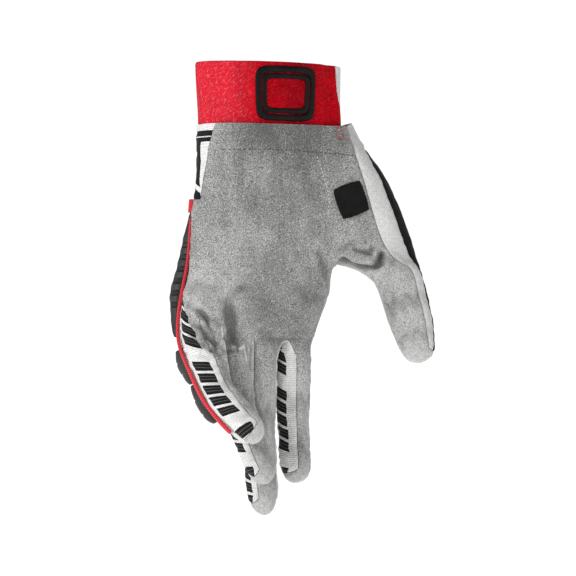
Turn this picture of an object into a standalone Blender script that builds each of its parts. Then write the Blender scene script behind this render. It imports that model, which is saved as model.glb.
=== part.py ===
# Left-hand mountain bike glove in its worn shape, hanging fingers down, palm towards -Y.
# Origin: centre of the wrist opening at the top rim of the cuff. +Z runs up the forearm,
# +X to the thumb side. All cloth pieces are cut from one skin of the hand, so that
# neighbours meet along common seams with a small gap between them.
import bpy
import numpy as np
from math import radians, sin, cos, pi
from mathutils import Vector
from mathutils.bvhtree import BVHTree

for old in list(bpy.data.objects):
    bpy.data.objects.remove(old, do_unlink=True)

# main sizes, metres
CUFF_HEIGHT = 0.0325
CUFF_TUCK = 0.008
STRIP_LIFT = 0.004
PALM_LENGTH = 0.113
PALM_WIDTH = 0.090
PALM_THICKNESS = 0.031
FINGER_LENGTH = 0.100
THUMB_LENGTH = 0.062
CUFF_WIDTH = 0.085
CUFF_DEPTH = 0.046
CUFF_WALL = 0.002
CLOTH_WALL = 0.0012
SEAM_GAP = 0.0003
RIM_DRAFT = 0.0003
PIPING_RADIUS = 0.0009
PRINT_HEIGHT = 0.0006
PATCH_HEIGHT = 0.0008
LABEL_WIDTH = 0.0165
LABEL_HEIGHT = 0.0175
GRIP_WIDTH = 0.0375
GRIP_HEIGHT = 0.0285
GRIP_LINE = 0.0050
BINDING_WIDTH = 0.0045
GUARD_RISE = 0.0080
GUARD_WIDTH = 0.019
TAB_LENGTH = 0.0075
TAB_REACH = 0.0028

# Places of the trims. Turns are degrees around the cuff, 0 at the thumb side, -90 at the
# palm; downs are shares of the palm length; shares run along the little finger.
TRIMS = dict(binding_turn=-24, binding_low=0.10, binding_high=0.97,
             grip_turn=-91, grip_middle=0.49,
             label_x=0.038, label_down=0.345, label_turn=20,
             tab_top=0.347, tab_end=0.410, piping_top=0.424, piping_end=0.86,
             guard_top=0.405, guard_end=0.965)
GUARD_ROWS = 22
GUARD_COLUMNS = 7
GUARD_WINDOWS = [5, 7, 9, 11, 13, 15]
PADS = [
    dict(node="little_finger_guard_upper", slot="pad_rubber_a", start=0.04, end=0.27, rise=0.0042, turn=190),
    dict(node="little_finger_guard_lower", slot="pad_rubber_b", start=0.32, end=0.58, rise=0.0036, turn=197),
]

# Cross-sections of the hand from the hem (down 0) to the finger roots (down 1).
# ulnar, web and thumb: places across the hand, shares of the palm width from the middle.
# cup_u, cup_t: how far the edges bend forward, shares of the palm thickness.
# palmar, dorsal: half thickness to the front and to the back, shares of the palm thickness.
# pu, mu, du: seam angles of the side panel on the little-finger edge, degrees to the palm.
# pr, mr, dr: the same on the thumb edge or, below the crotch, on the index edge.
BODY = [
    dict(down=0.00, ulnar=-0.456, web=0.222, thumb=0.572, cup_u=0.03, cup_t=0.12,
         palmar=0.71, dorsal=0.71, pu=30, mu=-5, du=-35, pr=45, mr=6, dr=-40),
    dict(down=0.09, ulnar=-0.456, web=0.244, thumb=0.645, cup_u=0.06, cup_t=0.40,
         palmar=0.71, dorsal=0.65, pu=16, mu=-12, du=-36, pr=49, mr=26, dr=-28),
    dict(down=0.25, ulnar=-0.474, web=0.278, thumb=0.760, cup_u=0.10, cup_t=0.68,
         palmar=0.65, dorsal=0.55, pu=2, mu=-16, du=-32, pr=50, mr=32, dr=-22),
    dict(down=0.425, ulnar=-0.502, web=0.333, thumb=0.835, cup_u=0.16, cup_t=0.94,
         palmar=0.58, dorsal=0.52, pu=-13, mu=-16, du=-19, pr=50, mr=33, dr=-20),
    dict(down=0.62, ulnar=-0.533, web=0.389, thumb=0.905, cup_u=0.26, cup_t=1.02,
         palmar=0.52, dorsal=0.48, pu=-13, mu=-16, du=-19, pr=48, mr=30, dr=-24),
    dict(down=0.743, ulnar=-0.560, web=0.411, thumb=None, cup_u=0.32, cup_t=0.25,
         palmar=0.48, dorsal=0.50, pu=-8, mu=-15, du=-22, pr=30, mr=0, dr=-40),
    dict(down=0.876, ulnar=-0.600, web=0.378, thumb=None, cup_u=0.39, cup_t=0.08,
         palmar=0.435, dorsal=0.515, pu=18, mu=-8, du=-32, pr=35, mr=0, dr=-40),
    dict(down=1.00, ulnar=-0.622, web=0.333, thumb=None, cup_u=0.45, cup_t=0.0,
         palmar=0.39, dorsal=0.485, pu=40, mu=2, du=-36, pr=40, mr=0, dr=-40),
]
THUMB_ROW = 4
LANES = [0.0, 0.230, 0.480, 0.720, 1.0]
SECTION_POWER = 2.6
WEB_LIFT = 0.10

# Fingers: centre of the root and size across as shares of palm width and thickness,
# length as a share of the finger length, twist, splay and the bends at root, middle
# joint and end joint in degrees; taper narrows the finger towards its tip; palm_u and
# palm_r are the seam angles of the palm side.
FINGERS = [
    dict(name="little", lane=0, x=-0.541, y=-0.36, length=0.683, width=0.200, depth=0.61, taper=0.05,
         twist=33, splay=-1, root=26, middle=16, end=15, palm_u=22, palm_r=58),
    dict(name="ring", lane=1, x=-0.289, y=-0.13, length=0.845, width=0.203, depth=0.59, taper=0.05,
         twist=17, splay=1.5, root=13, middle=10, end=10, palm_u=60, palm_r=60),
    dict(name="middle", lane=2, x=-0.050, y=0.0, length=0.99, width=0.208, depth=0.60, taper=0.05,
         twist=2, splay=-3, root=3, middle=7, end=5, palm_u=50, palm_r=50),
    dict(name="index", lane=3, x=0.172, y=-0.03, length=0.82, width=0.208, depth=0.60, taper=0.05,
         twist=8, splay=-4.5, root=4, middle=5, end=4, palm_u=20, palm_r=50),
]
THUMB = dict(name="thumb", lane=4, x=0.690, y=-0.87, length=1.0, width=0.278, depth=0.774,
             taper=0.27, twist=-42, splay=17, root=7, middle=4, end=6, palm_u=50, palm_r=56)
STATIONS = [
    dict(at=0.11, width=1.00, depth=1.00),
    dict(at=0.27, width=0.98, depth=0.98),
    dict(at=0.43, width=1.00, depth=1.00),
    dict(at=0.58, width=0.96, depth=0.95),
    dict(at=0.74, width=0.95, depth=0.93),
    dict(at=0.89, width=0.86, depth=0.84),
]
MIDDLE_JOINT = 0.43
END_JOINT = 0.74
JOINT_REACH = 0.12
RING_SWELL = 1.108

PANELS = [
    dict(key="palm", node="palm_panel", slot="suede"),
    dict(key="back", node="back_panel", slot="back_knit"),
    dict(key="thumb_back", node="thumb_back_panel", slot="black_knit"),
    dict(key="thumb_strip", node="thumb_side_strip", slot="pale_mesh"),
    dict(key="web_gusset", node="web_gusset", slot="suede_gusset"),
    dict(key="ulnar_side", node="ulnar_side_panel", slot="side_knit"),
    dict(key="fork_lr", node="fourchette_little_ring", slot="fourchette_a"),
    dict(key="fork_rm", node="fourchette_ring_middle", slot="fourchette_b"),
    dict(key="fork_mi", node="fourchette_middle_index", slot="fourchette_c"),
]
COLOURS = {
    "suede": (0.30, 0.30, 0.30),
    "back_knit": (0.80, 0.80, 0.79),
    "black_knit": (0.01, 0.01, 0.01),
    "pale_mesh": (0.62, 0.64, 0.63),
    "suede_gusset": (0.29, 0.29, 0.29),
    "side_knit": (0.82, 0.82, 0.82),
    "fourchette_a": (0.80, 0.80, 0.80),
    "fourchette_b": (0.80, 0.80, 0.80),
    "fourchette_c": (0.80, 0.80, 0.80),
    "red_knit": (0.58, 0.01, 0.02),
    "white_binding": (0.85, 0.85, 0.85),
    "black_silicone": (0.01, 0.01, 0.01),
    "black_label": (0.02, 0.02, 0.02),
    "guard_rubber": (0.05, 0.05, 0.05),
    "pad_rubber_a": (0.05, 0.05, 0.05),
    "pad_rubber_b": (0.05, 0.05, 0.05),
    "red_cord": (0.60, 0.01, 0.02),
    "red_tape": (0.62, 0.01, 0.02),
}

collection = bpy.data.collections.new("mountain_bike_glove")
bpy.context.scene.collection.children.link(collection)


def add_object(name, verts, faces, slot):
    """One object with its own material, flat list of points in metres."""
    mesh = bpy.data.meshes.new(name)
    mesh.from_pydata([tuple(p) for p in verts], [], [tuple(f) for f in faces])
    mesh.update()
    material = bpy.data.materials.new(slot)
    material.use_nodes = True
    shader = material.node_tree.nodes["Principled BSDF"]
    shader.inputs["Base Color"].default_value = COLOURS[slot] + (1.0,)
    shader.inputs["Roughness"].default_value = 0.8
    mesh.materials.append(material)
    obj = bpy.data.objects.new(name, mesh)
    collection.objects.link(obj)
    return obj


def thicken(obj, thickness, offset):
    """Give an open surface its wall; offset 1 builds outwards, -1 inwards."""
    wall = obj.modifiers.new("wall", "SOLIDIFY")
    wall.thickness = thickness
    wall.offset = offset
    wall.use_even_offset = True
    return obj


def section_edge(angle):
    """Place on the section outline at an angle from its side edge: across, towards palm."""
    across = cos(radians(angle))
    deep = sin(radians(angle))
    power = SECTION_POWER
    reach = (abs(across) ** power + abs(deep) ** power) ** (-1.0 / power)
    return across * reach, deep * reach


def section_point(row, across, deep):
    """Point of a bent section; across -1 to 1, deep -1 (back) to 1 (palm)."""
    low = row["ulnar"] * PALM_WIDTH
    high = (row["web"] if row["thumb"] is None else row["thumb"]) * PALM_WIDTH
    middle = (low + high) / 2
    half = (high - low) / 2
    bend_u = row["cup_u"] * PALM_THICKNESS * max(0.0, -across) ** 2
    bend_t = row["cup_t"] * PALM_THICKNESS * max(0.0, across) ** 2
    slope = 2 * (row["cup_u"] * max(0.0, -across) - row["cup_t"] * max(0.0, across))
    slope = slope * PALM_THICKNESS / half
    front = np.array([slope, -1.0]) / np.hypot(slope, 1.0)
    depth = PALM_THICKNESS * deep * (row["palmar"] if deep > 0 else row["dorsal"])
    x = middle + half * across + front[0] * depth
    y = -bend_u - bend_t + front[1] * depth
    z = -CUFF_HEIGHT - PALM_LENGTH * row["down"]
    return np.array([x, y, z])


def finger_frame(finger, at):
    """Centre of a finger at a share of its length, with its outward and palm directions."""
    twist = radians(finger["twist"])
    splay = radians(finger["splay"])
    palm_dir = np.array([sin(twist), -cos(twist), 0.0])
    side_dir = np.array([cos(twist), sin(twist), 0.0])
    up = np.array([0.0, 0.0, 1.0])
    down_dir = side_dir * sin(splay) - up * cos(splay)
    side = side_dir * cos(splay) + up * sin(splay)
    length = finger["length"] * (THUMB_LENGTH if finger["lane"] == 4 else FINGER_LENGTH)
    row = BODY[THUMB_ROW if finger["lane"] == 4 else -1]

    def bend(share):
        angle = radians(finger["root"])
        for joint, degrees in ((MIDDLE_JOINT, finger["middle"]), (END_JOINT, finger["end"])):
            part = np.clip((share - joint + JOINT_REACH) / (2 * JOINT_REACH), 0, 1)
            angle = angle + radians(degrees) * part * part * (3 - 2 * part)
        return angle

    steps = 60
    shares = (np.arange(steps) + 0.5) / steps * at
    angles = np.array([bend(s) for s in shares])
    run = np.outer(np.cos(angles), down_dir) + np.outer(np.sin(angles), palm_dir)
    start = np.array([finger["x"] * PALM_WIDTH, finger["y"] * PALM_THICKNESS,
                      -CUFF_HEIGHT - PALM_LENGTH * row["down"]])
    centre = start + run.sum(axis=0) * at * length / steps
    last = bend(at)
    palm = palm_dir * cos(last) - down_dir * sin(last)
    return centre, side, palm


def build_cage():
    """Coarse cage of the whole hand: points, four-sided faces and the panel of each face."""
    points = []
    faces = []
    panels = []

    def add(point):
        points.append(np.array(point, float))
        return len(points) - 1

    def quad(a, b, c, d, panel):
        faces.append((a, b, c, d))
        panels.append(panel)

    rows = []
    for row in BODY:
        has_thumb = row["thumb"] is not None
        low = row["ulnar"]
        high = row["thumb"] if has_thumb else row["web"]
        bounds = [low + (row["web"] - low) * share for share in LANES]
        columns = []
        for i in range(4):
            columns += [bounds[i], (bounds[i] + bounds[i + 1]) / 2]
        columns.append(bounds[4])
        if has_thumb:
            columns += [(row["web"] + row["thumb"]) / 2, row["thumb"]]
        across = (2 * np.array(columns) - low - high) / (high - low)
        deep = np.maximum(0, 1 - np.abs(across) ** SECTION_POWER) ** (1 / SECTION_POWER)

        def edge(sign, angle):
            a, d = section_edge(angle)
            return add(section_point(row, sign * a, d))

        last = len(columns) - 1
        palm = [edge(-1, row["pu"])]
        palm += [add(section_point(row, across[i], deep[i])) for i in range(1, last)]
        palm += [edge(1, row["pr"])]
        back = [edge(-1, row["du"])]
        back += [add(section_point(row, across[i], -deep[i])) for i in range(1, last)]
        back += [edge(1, row["dr"])]
        rows.append(dict(palm=palm, back=back, ulnar=edge(-1, row["mu"]),
                         radial=edge(1, row["mr"])))

    def lifted(a, b):
        lift = np.array([0.0, 0.0, WEB_LIFT * PALM_THICKNESS])
        return add((points[a] + points[b]) / 2 + lift)

    points[rows[0]["radial"]][2] += STRIP_LIFT
    crotch = rows[THUMB_ROW]
    crotch["web"] = lifted(crotch["palm"][8], crotch["back"][8])
    final = len(rows) - 1
    for r in range(final):
        top = rows[r]
        low = rows[r + 1]
        for c in range(10 if r < THUMB_ROW else 8):
            quad(top["palm"][c], low["palm"][c], low["palm"][c + 1], top["palm"][c + 1], "palm")
            panel = "thumb_back" if c >= 8 and r >= 1 else "back"
            quad(top["back"][c], top["back"][c + 1], low["back"][c + 1], low["back"][c], panel)
        quad(top["ulnar"], low["ulnar"], low["palm"][0], top["palm"][0], "ulnar_side")
        quad(top["back"][0], low["back"][0], low["ulnar"], top["ulnar"], "ulnar_side")
        if r < THUMB_ROW:
            panel = "thumb_back" if r >= 1 else "thumb_strip"
            quad(top["palm"][10], low["palm"][10], low["radial"], top["radial"], "thumb_strip")
            quad(top["radial"], low["radial"], low["back"][10], top["back"][10], panel)
        else:
            side = top["web"] if r == THUMB_ROW else top["radial"]
            quad(top["palm"][8], low["palm"][8], low["radial"], side, "web_gusset")
            quad(side, low["radial"], low["back"][8], top["back"][8], "web_gusset")

    root = rows[final]
    webs = [root["ulnar"]]
    webs += [lifted(root["palm"][j], root["back"][j]) for j in (2, 4, 6)]
    webs += [root["radial"]]
    sides = [("ulnar_side", "fork_lr"), ("fork_lr", "fork_rm"), ("fork_rm", "fork_mi"),
             ("fork_mi", "web_gusset"), ("web_gusset", "thumb_strip")]

    def tube(finger, ring):
        lane = finger["lane"]
        inner, outer = sides[lane]
        is_thumb = lane == 4
        back = "thumb_back" if is_thumb else "back"
        far = back if is_thumb else outer
        names = ["palm", "palm", outer, far, back, back, inner, inner]
        left = finger["palm_u"]
        right = finger["palm_r"]
        angles = [-left, (right - left) / 2, right, 90, 130, 180, 230, (590 - left) / 2]
        if is_thumb:
            angles[3:5] = [84, 124]
        for station in STATIONS:
            centre, side, palm = finger_frame(finger, station["at"])
            slim = RING_SWELL * (1 - finger["taper"] * station["at"] ** 2)
            half_width = finger["width"] * PALM_WIDTH / 2 * slim * station["width"]
            half_depth = finger["depth"] * PALM_THICKNESS / 2 * slim * station["depth"]
            fresh = []
            for angle in angles:
                a = radians(angle)
                fresh.append(add(centre + side * sin(a) * half_width + palm * cos(a) * half_depth))
            for j in range(8):
                quad(ring[j], fresh[j], fresh[(j + 1) % 8], ring[(j + 1) % 8], names[j])
            ring = fresh
        tip = add(finger_frame(finger, 1.0)[0])
        quad(ring[0], ring[7], tip, ring[1], "palm")
        quad(ring[1], tip, ring[3], ring[2], "palm")
        quad(ring[7], ring[6], ring[5], tip, "palm")
        quad(tip, ring[5], ring[4], ring[3], "palm")

    for finger in FINGERS:
        i = finger["lane"]
        ring = [root["palm"][2 * i], root["palm"][2 * i + 1], root["palm"][2 * i + 2],
                webs[i + 1], root["back"][2 * i + 2], root["back"][2 * i + 1],
                root["back"][2 * i], webs[i]]
        tube(finger, ring)
    tube(THUMB, [crotch["palm"][8], crotch["palm"][9], crotch["palm"][10], crotch["radial"],
                 crotch["back"][10], crotch["back"][9], crotch["back"][8], crotch["web"]])
    return points, faces, panels


def round_cage(points, faces, panels):
    """Smooth the cage with a subdivision surface: points, normals, faces and panel keys."""
    keys = [panel["key"] for panel in PANELS]
    mesh = bpy.data.meshes.new("hand_cage")
    mesh.from_pydata([tuple(p) for p in points], [], faces)
    for key in keys:
        mesh.materials.append(bpy.data.materials.new("cage_" + key))
    mesh.polygons.foreach_set("material_index", [keys.index(p) for p in panels])
    cage = bpy.data.objects.new("hand_cage", mesh)
    collection.objects.link(cage)
    smooth = cage.modifiers.new("smooth", "SUBSURF")
    smooth.levels = 1
    smooth.render_levels = 1
    bpy.context.view_layer.update()
    graph = bpy.context.evaluated_depsgraph_get()
    body = cage.evaluated_get(graph).to_mesh()
    count = len(body.vertices)
    spots = np.empty(count * 3)
    body.vertices.foreach_get("co", spots)
    normals = np.array([list(v.normal) for v in body.vertices])
    quads = np.array([list(p.vertices) for p in body.polygons])
    labels = np.array([p.material_index for p in body.polygons])
    cage.evaluated_get(graph).to_mesh_clear()
    bpy.data.objects.remove(cage, do_unlink=True)
    for key in keys:
        bpy.data.materials.remove(bpy.data.materials["cage_" + key])
    return spots.reshape(-1, 3), normals, quads, labels


def seam_edges(quads, labels):
    """Every face edge with the panel beyond it, or -1 at the open hem."""
    owner = {}
    for f, quad in enumerate(quads):
        for k in range(4):
            owner[(quad[k], quad[(k + 1) % 4])] = f
    beyond = {}
    for (a, b), f in owner.items():
        other = owner.get((b, a))
        beyond[(a, b)] = (labels[f], -1 if other is None else labels[other], f)
    return beyond


def build_panel(index, spots, normals, quads, labels, beyond):
    """Cut one panel out of the skin, step back from its seams and give it its wall."""
    mine = quads[labels == index]
    used = np.unique(mine)
    place = {int(v): i for i, v in enumerate(used)}
    inward = {int(v): [] for v in used}
    rim = []
    for (a, b), (own, other, f) in beyond.items():
        if own != index or other == index:
            continue
        rim.append((int(a), int(b)))
        if other == -1:
            continue
        quad = spots[quads[f]]
        face_normal = np.cross(quad[2] - quad[0], quad[3] - quad[1])
        step = np.cross(face_normal, spots[b] - spots[a])
        step = step / np.linalg.norm(step)
        inward[int(a)].append(step)
        inward[int(b)].append(step)
    outer = spots[used].copy()
    draft = np.zeros_like(outer)
    for v, steps in inward.items():
        if not steps:
            continue
        total = np.sum(steps, axis=0)
        total = total / np.linalg.norm(total)
        spread = np.mean([np.dot(total, step) for step in steps])
        step = total / max(spread, 0.4)
        outer[place[v]] += step * SEAM_GAP / 2
        draft[place[v]] = step * RIM_DRAFT
    inner = outer + draft - normals[used] * CLOTH_WALL
    count = len(used)
    faces = []
    for quad in mine:
        ids = [place[int(v)] for v in quad]
        corner = spots[quad]
        bulge = np.linalg.norm((corner[0] + corner[2] - corner[1] - corner[3]) / 2)
        pieces = [ids]
        if bulge > CLOTH_WALL / 4:
            pieces = [[ids[0], ids[1], ids[2]], [ids[0], ids[2], ids[3]]]
            if np.linalg.norm(corner[1] - corner[3]) < np.linalg.norm(corner[0] - corner[2]):
                pieces = [[ids[0], ids[1], ids[3]], [ids[1], ids[2], ids[3]]]
        for piece in pieces:
            faces.append(piece)
            faces.append([i + count for i in reversed(piece)])
    for a, b in rim:
        i = place[a]
        j = place[b]
        if a < b:
            faces.append([j, i, i + count])
            faces.append([j, i + count, j + count])
        else:
            faces.append([j, i, j + count])
            faces.append([i, i + count, j + count])
    return add_object(PANELS[index]["node"], np.vstack([outer, inner]), faces, PANELS[index]["slot"])


def hem_loops(quads, beyond, spots):
    """The open hem as an ordered loop, and the next loop of points below it."""
    after = {int(a): int(b) for (a, b), (own, other, f) in beyond.items() if other == -1}
    start = min(after, key=lambda v: (spots[v][0], v))
    loop = [start]
    while after[loop[-1]] != start:
        loop.append(after[loop[-1]])
    below = {}
    for quad in quads:
        ids = [int(v) for v in quad]
        for k in range(4):
            a = ids[k]
            b = ids[(k + 1) % 4]
            if after.get(a) == b:
                below[a] = ids[(k + 3) % 4]
                below[b] = ids[(k + 2) % 4]
    return loop, [below[v] for v in loop]


def build_cuff(spots, normals, loop, below):
    """Open band of rings, from inside the hem up to the wrist rim."""
    depth = CLOTH_WALL + SEAM_GAP
    hem = spots[loop] - normals[loop] * depth
    low = spots[below] - normals[below] * depth
    for ring in (hem, low):
        ring[:, 0] -= CUFF_TUCK * np.clip(ring[:, 0] / hem[:, 0].max(), 0, 1) ** 3
    turn = np.arctan2(hem[:, 1] / CUFF_DEPTH, (hem[:, 0] - hem[:, 0].mean()) / CUFF_WIDTH)
    top = np.stack([np.cos(turn) * CUFF_WIDTH / 2, np.sin(turn) * CUFF_DEPTH / 2,
                    np.zeros(len(loop))], axis=1)
    rings = [low, hem]
    for share in (0.2, 0.4, 0.6, 0.8, 1.0):
        ease = share * share * (3 - 2 * share)
        ring = hem * (1 - ease) + top * ease
        ring[:, 2] = hem[:, 2] * (1 - share) + top[:, 2] * share
        rings.append(ring)
    return np.array(rings)


def cuff_surface(rings, around, height, rise):
    """Points on the cuff: around in degrees (0 thumb side, -90 palm), height 0 hem to 1 rim."""
    body = rings[1:]
    angles = np.degrees(np.arctan2(body[:, :, 1] / CUFF_DEPTH, body[:, :, 0] / CUFF_WIDTH))
    level = np.clip(height, 0, 1) * (len(body) - 1)
    low = np.minimum(level.astype(int), len(body) - 2)
    part = level - low
    layers = []
    for k in range(len(body)):
        order = np.argsort(angles[k])
        axis = np.concatenate([angles[k][order] - 360, angles[k][order], angles[k][order] + 360])
        columns = [np.tile(body[k][order, c], 3) for c in range(3)]
        layers.append(np.stack([np.interp(around, axis, column) for column in columns], axis=-1))
    layers = np.array(layers)
    index = np.arange(len(around))
    spot = layers[low, index] * (1 - part)[:, None] + layers[low + 1, index] * part[:, None]
    ahead = around + 2.0
    behind = around - 2.0
    if rise is None:
        return spot
    near = cuff_surface(rings, ahead, height, None) - cuff_surface(rings, behind, height, None)
    outward = np.stack([near[:, 1], -near[:, 0], np.zeros(len(around))], axis=1)
    outward = outward / np.linalg.norm(outward, axis=1)[:, None]
    return spot + outward * rise


def grid_faces(rows, columns):
    """Faces of a grid of points stored row by row."""
    return [[r * columns + c, r * columns + c + 1, (r + 1) * columns + c + 1, (r + 1) * columns + c]
            for r in range(rows - 1) for c in range(columns - 1)]


def loft(name, sections, slot, closed):
    """Skin a row of equal closed sections; open rows get an end face at each end."""
    sections = np.array(sections)
    count, points = sections.shape[:2]
    faces = []
    for s in range(count if closed else count - 1):
        t = (s + 1) % count
        for p in range(points):
            q = (p + 1) % points
            faces.append([s * points + p, s * points + q, t * points + q, t * points + p])
    if not closed:
        faces.append([p for p in reversed(range(points))])
        faces.append([(count - 1) * points + p for p in range(points)])
    return add_object(name, sections.reshape(-1, 3), faces, slot)


def cast(tree, origin, direction):
    """First point of the skin met from inside the hand, with the direction given."""
    spot = tree.ray_cast(Vector(origin), Vector(direction))[0]
    return np.array(spot)


def slab(name, low, high, present, slot):
    """Closed body between two grids; cells marked absent become through windows."""
    rows, columns = low.shape[:2]
    count = rows * columns
    faces = []

    def kept(r, c):
        return 0 <= r < rows - 1 and 0 <= c < columns - 1 and present[r][c]

    for r in range(rows - 1):
        for c in range(columns - 1):
            if not kept(r, c):
                continue
            ids = [r * columns + c, r * columns + c + 1, (r + 1) * columns + c + 1,
                   (r + 1) * columns + c]
            faces.append([i + count for i in ids])
            faces.append([i for i in reversed(ids)])
            beside = [(r - 1, c), (r, c + 1), (r + 1, c), (r, c - 1)]
            for k in range(4):
                if not kept(*beside[k]):
                    a = ids[k]
                    b = ids[(k + 1) % 4]
                    faces.append([a, b, b + count, a + count])
    points = np.vstack([low.reshape(-1, 3), high.reshape(-1, 3)])
    used = sorted({i for face in faces for i in face})
    place = {v: i for i, v in enumerate(used)}
    return add_object(name, points[used], [[place[i] for i in face] for face in faces], slot)


def side_axis(down):
    """Line inside the little-finger edge of the hand, from which its outside is sought."""
    downs = [row["down"] for row in BODY]
    spots_in = []
    for row in BODY:
        high = row["web"] if row["thumb"] is None else row["thumb"]
        half = (high - row["ulnar"]) * PALM_WIDTH / 2
        spots_in.append(section_point(row, -1 + 0.5 * PALM_THICKNESS / half, 0.0))
    spots_in = np.array(spots_in)
    return np.array([np.interp(down, downs, spots_in[:, c]) for c in range(3)])


def trace_seam(beyond, first, second, spots):
    """Points of the seam between two panels, ordered from the hem to the fingertip."""
    after = {int(a): int(b) for (a, b), (own, other, f) in beyond.items()
             if own == first and other == second}
    starts = set(after) - set(after.values())
    path = [max(starts, key=lambda v: spots[v][2])]
    while path[-1] in after:
        path.append(after[path[-1]])
    return path


def build_cuff_trims(rings):
    """The white strip on the thumb side and the raised frame on the front."""
    per_metre = 360.0 / (pi * CUFF_WIDTH)
    across = np.linspace(-0.5, 0.5, 5)
    up = np.linspace(TRIMS["binding_low"], TRIMS["binding_high"], 9)
    turn = TRIMS["binding_turn"] + np.tile(across, 9) * BINDING_WIDTH * per_metre * 1.6
    strip = cuff_surface(rings, turn, np.repeat(up, 5), SEAM_GAP)
    binding = add_object("cuff_side_binding", strip, grid_faces(9, 5), "white_binding")
    thicken(binding, PATCH_HEIGHT, 1.0)

    steps = 52
    run = np.arange(steps) / steps * 2 * pi
    power = 2.0 / 5.0
    sections = []
    for width, rise in ((-0.5, 0.0), (-0.5, 1.0), (0.5, 1.0), (0.5, 0.0)):
        half_x = (GRIP_WIDTH - GRIP_LINE) / 2 + width * GRIP_LINE
        half_z = (GRIP_HEIGHT - GRIP_LINE) / 2 + width * GRIP_LINE
        x = np.sign(np.cos(run)) * np.abs(np.cos(run)) ** power * half_x
        z = np.sign(np.sin(run)) * np.abs(np.sin(run)) ** power * half_z
        height = TRIMS["grip_middle"] + z / CUFF_HEIGHT
        lift = SEAM_GAP + rise * PRINT_HEIGHT
        sections.append(cuff_surface(rings, TRIMS["grip_turn"] + x * per_metre, height, lift))
    loft("cuff_grip_print", np.array(sections).transpose(1, 0, 2), "black_silicone", True)


def build_label(tree):
    """Rounded patch that follows the ball of the thumb."""
    z = -CUFF_HEIGHT - TRIMS["label_down"] * PALM_LENGTH
    hit, normal = tree.ray_cast(Vector((TRIMS["label_x"], -1.0, z)), Vector((0, 1, 0)))[:2]
    right = Vector((-normal.y, normal.x, 0)).normalized()
    up = normal.cross(right)
    lean = radians(TRIMS["label_turn"])
    points = []
    size = 9
    for r in range(size):
        for c in range(size):
            u = c / (size - 1) * 2 - 1
            v = r / (size - 1) * 2 - 1
            a = u * np.sqrt(1 - 0.16 * v ** 2) * LABEL_WIDTH / 2
            b = v * np.sqrt(1 - 0.16 * u ** 2) * LABEL_HEIGHT / 2
            x = a * cos(lean) - b * sin(lean)
            y = a * sin(lean) + b * cos(lean)
            start = hit + right * x + up * y + normal * 0.05
            spot = tree.ray_cast(start, -normal)[0]
            points.append(spot + normal * SEAM_GAP * 1.5)
    label = add_object("palm_label", points, grid_faces(size, size), "black_label")
    thicken(label, PATCH_HEIGHT, 1.0)


def seam_turns(path, spots, downs):
    """Angle of the seam about the side axis at the given downs, degrees to the back."""
    places = spots[path]
    depth = (-CUFF_HEIGHT - places[:, 2]) / PALM_LENGTH
    order = np.argsort(depth)
    found = []
    for down in downs:
        axis = side_axis(down)
        x = np.interp(down, depth[order], places[order, 0])
        y = np.interp(down, depth[order], places[order, 1])
        found.append(np.degrees(np.arctan2(y - axis[1], axis[0] - x)))
    return np.array(found)


def build_guard(tree, path, spots):
    """Moulded guard over the outer knuckles, with a row of through windows."""
    downs = np.linspace(TRIMS["guard_top"], TRIMS["guard_end"], GUARD_ROWS)
    margin = np.degrees((2 * PIPING_RADIUS + 3 * SEAM_GAP) / (PALM_THICKNESS / 2))
    starts = seam_turns(path, spots, downs) + margin
    low = np.empty((GUARD_ROWS, GUARD_COLUMNS, 3))
    high = np.empty((GUARD_ROWS, GUARD_COLUMNS, 3))
    for r, down in enumerate(downs):
        along = r / (GUARD_ROWS - 1)
        swell = sin(pi * (0.06 + 0.88 * along)) ** 0.30
        span = np.degrees(GUARD_WIDTH * swell / (PALM_THICKNESS / 2))
        axis = side_axis(down)
        for c in range(GUARD_COLUMNS):
            across = c / (GUARD_COLUMNS - 1)
            turn = radians(starts[r] + span * across)
            out = np.array([-cos(turn), sin(turn), 0.0])
            spot = cast(tree, axis, out)
            crown = sin(pi * (0.05 + 0.90 * along)) ** 0.8
            dome = (1 - abs(2 * across - 1) ** 6) * crown
            rib = 1.0 if r % 2 else 0.82
            low[r, c] = spot + out * SEAM_GAP * 1.5
            high[r, c] = spot + out * (0.0012 + GUARD_RISE * dome * rib)
    present = np.ones((GUARD_ROWS - 1, GUARD_COLUMNS - 1), bool)
    present[GUARD_WINDOWS, 1:2] = False
    slab("knuckle_guard", low, high, present, "guard_rubber")


def build_pads(tree):
    """Two raised pads on the back of the little finger."""
    rows = 9
    columns = 7
    for pad in PADS:
        low = np.empty((rows, columns, 3))
        high = np.empty((rows, columns, 3))
        for r in range(rows):
            along = r / (rows - 1)
            share = pad["start"] + (pad["end"] - pad["start"]) * along
            centre, side, palm = finger_frame(FINGERS[0], share)
            swell = sin(pi * (0.1 + 0.8 * along)) ** 0.6
            for c in range(columns):
                across = c / (columns - 1)
                turn = radians(pad["turn"] - 24 * (2 * across - 1) * swell)
                out = side * sin(turn) + palm * cos(turn)
                spot = cast(tree, centre, out)
                dome = (1 - abs(2 * across - 1) ** 2.5) * swell
                low[r, c] = spot + out * SEAM_GAP * 1.5
                high[r, c] = spot + out * (0.0010 + pad["rise"] * dome)
        present = np.ones((rows - 1, columns - 1), bool)
        slab(pad["node"], low, high, present, pad["slot"])


def seam_line(path, spots, normals, rise, first_down, last_share):
    """Seam between a place on the palm and a share of the little finger, lifted outwards."""
    line = spots[path] + normals[path] * rise
    down = (-CUFF_HEIGHT - line[:, 2]) / PALM_LENGTH
    end = finger_frame(FINGERS[0], last_share)[0]
    last = (-CUFF_HEIGHT - end[2]) / PALM_LENGTH
    inner = line[(down > first_down + 0.01) & (down < last - 0.01)]
    ends = [[np.interp(d, down, line[:, c]) for c in range(3)] for d in (first_down, last)]
    return np.vstack([ends[0], inner, ends[1]])


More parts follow.
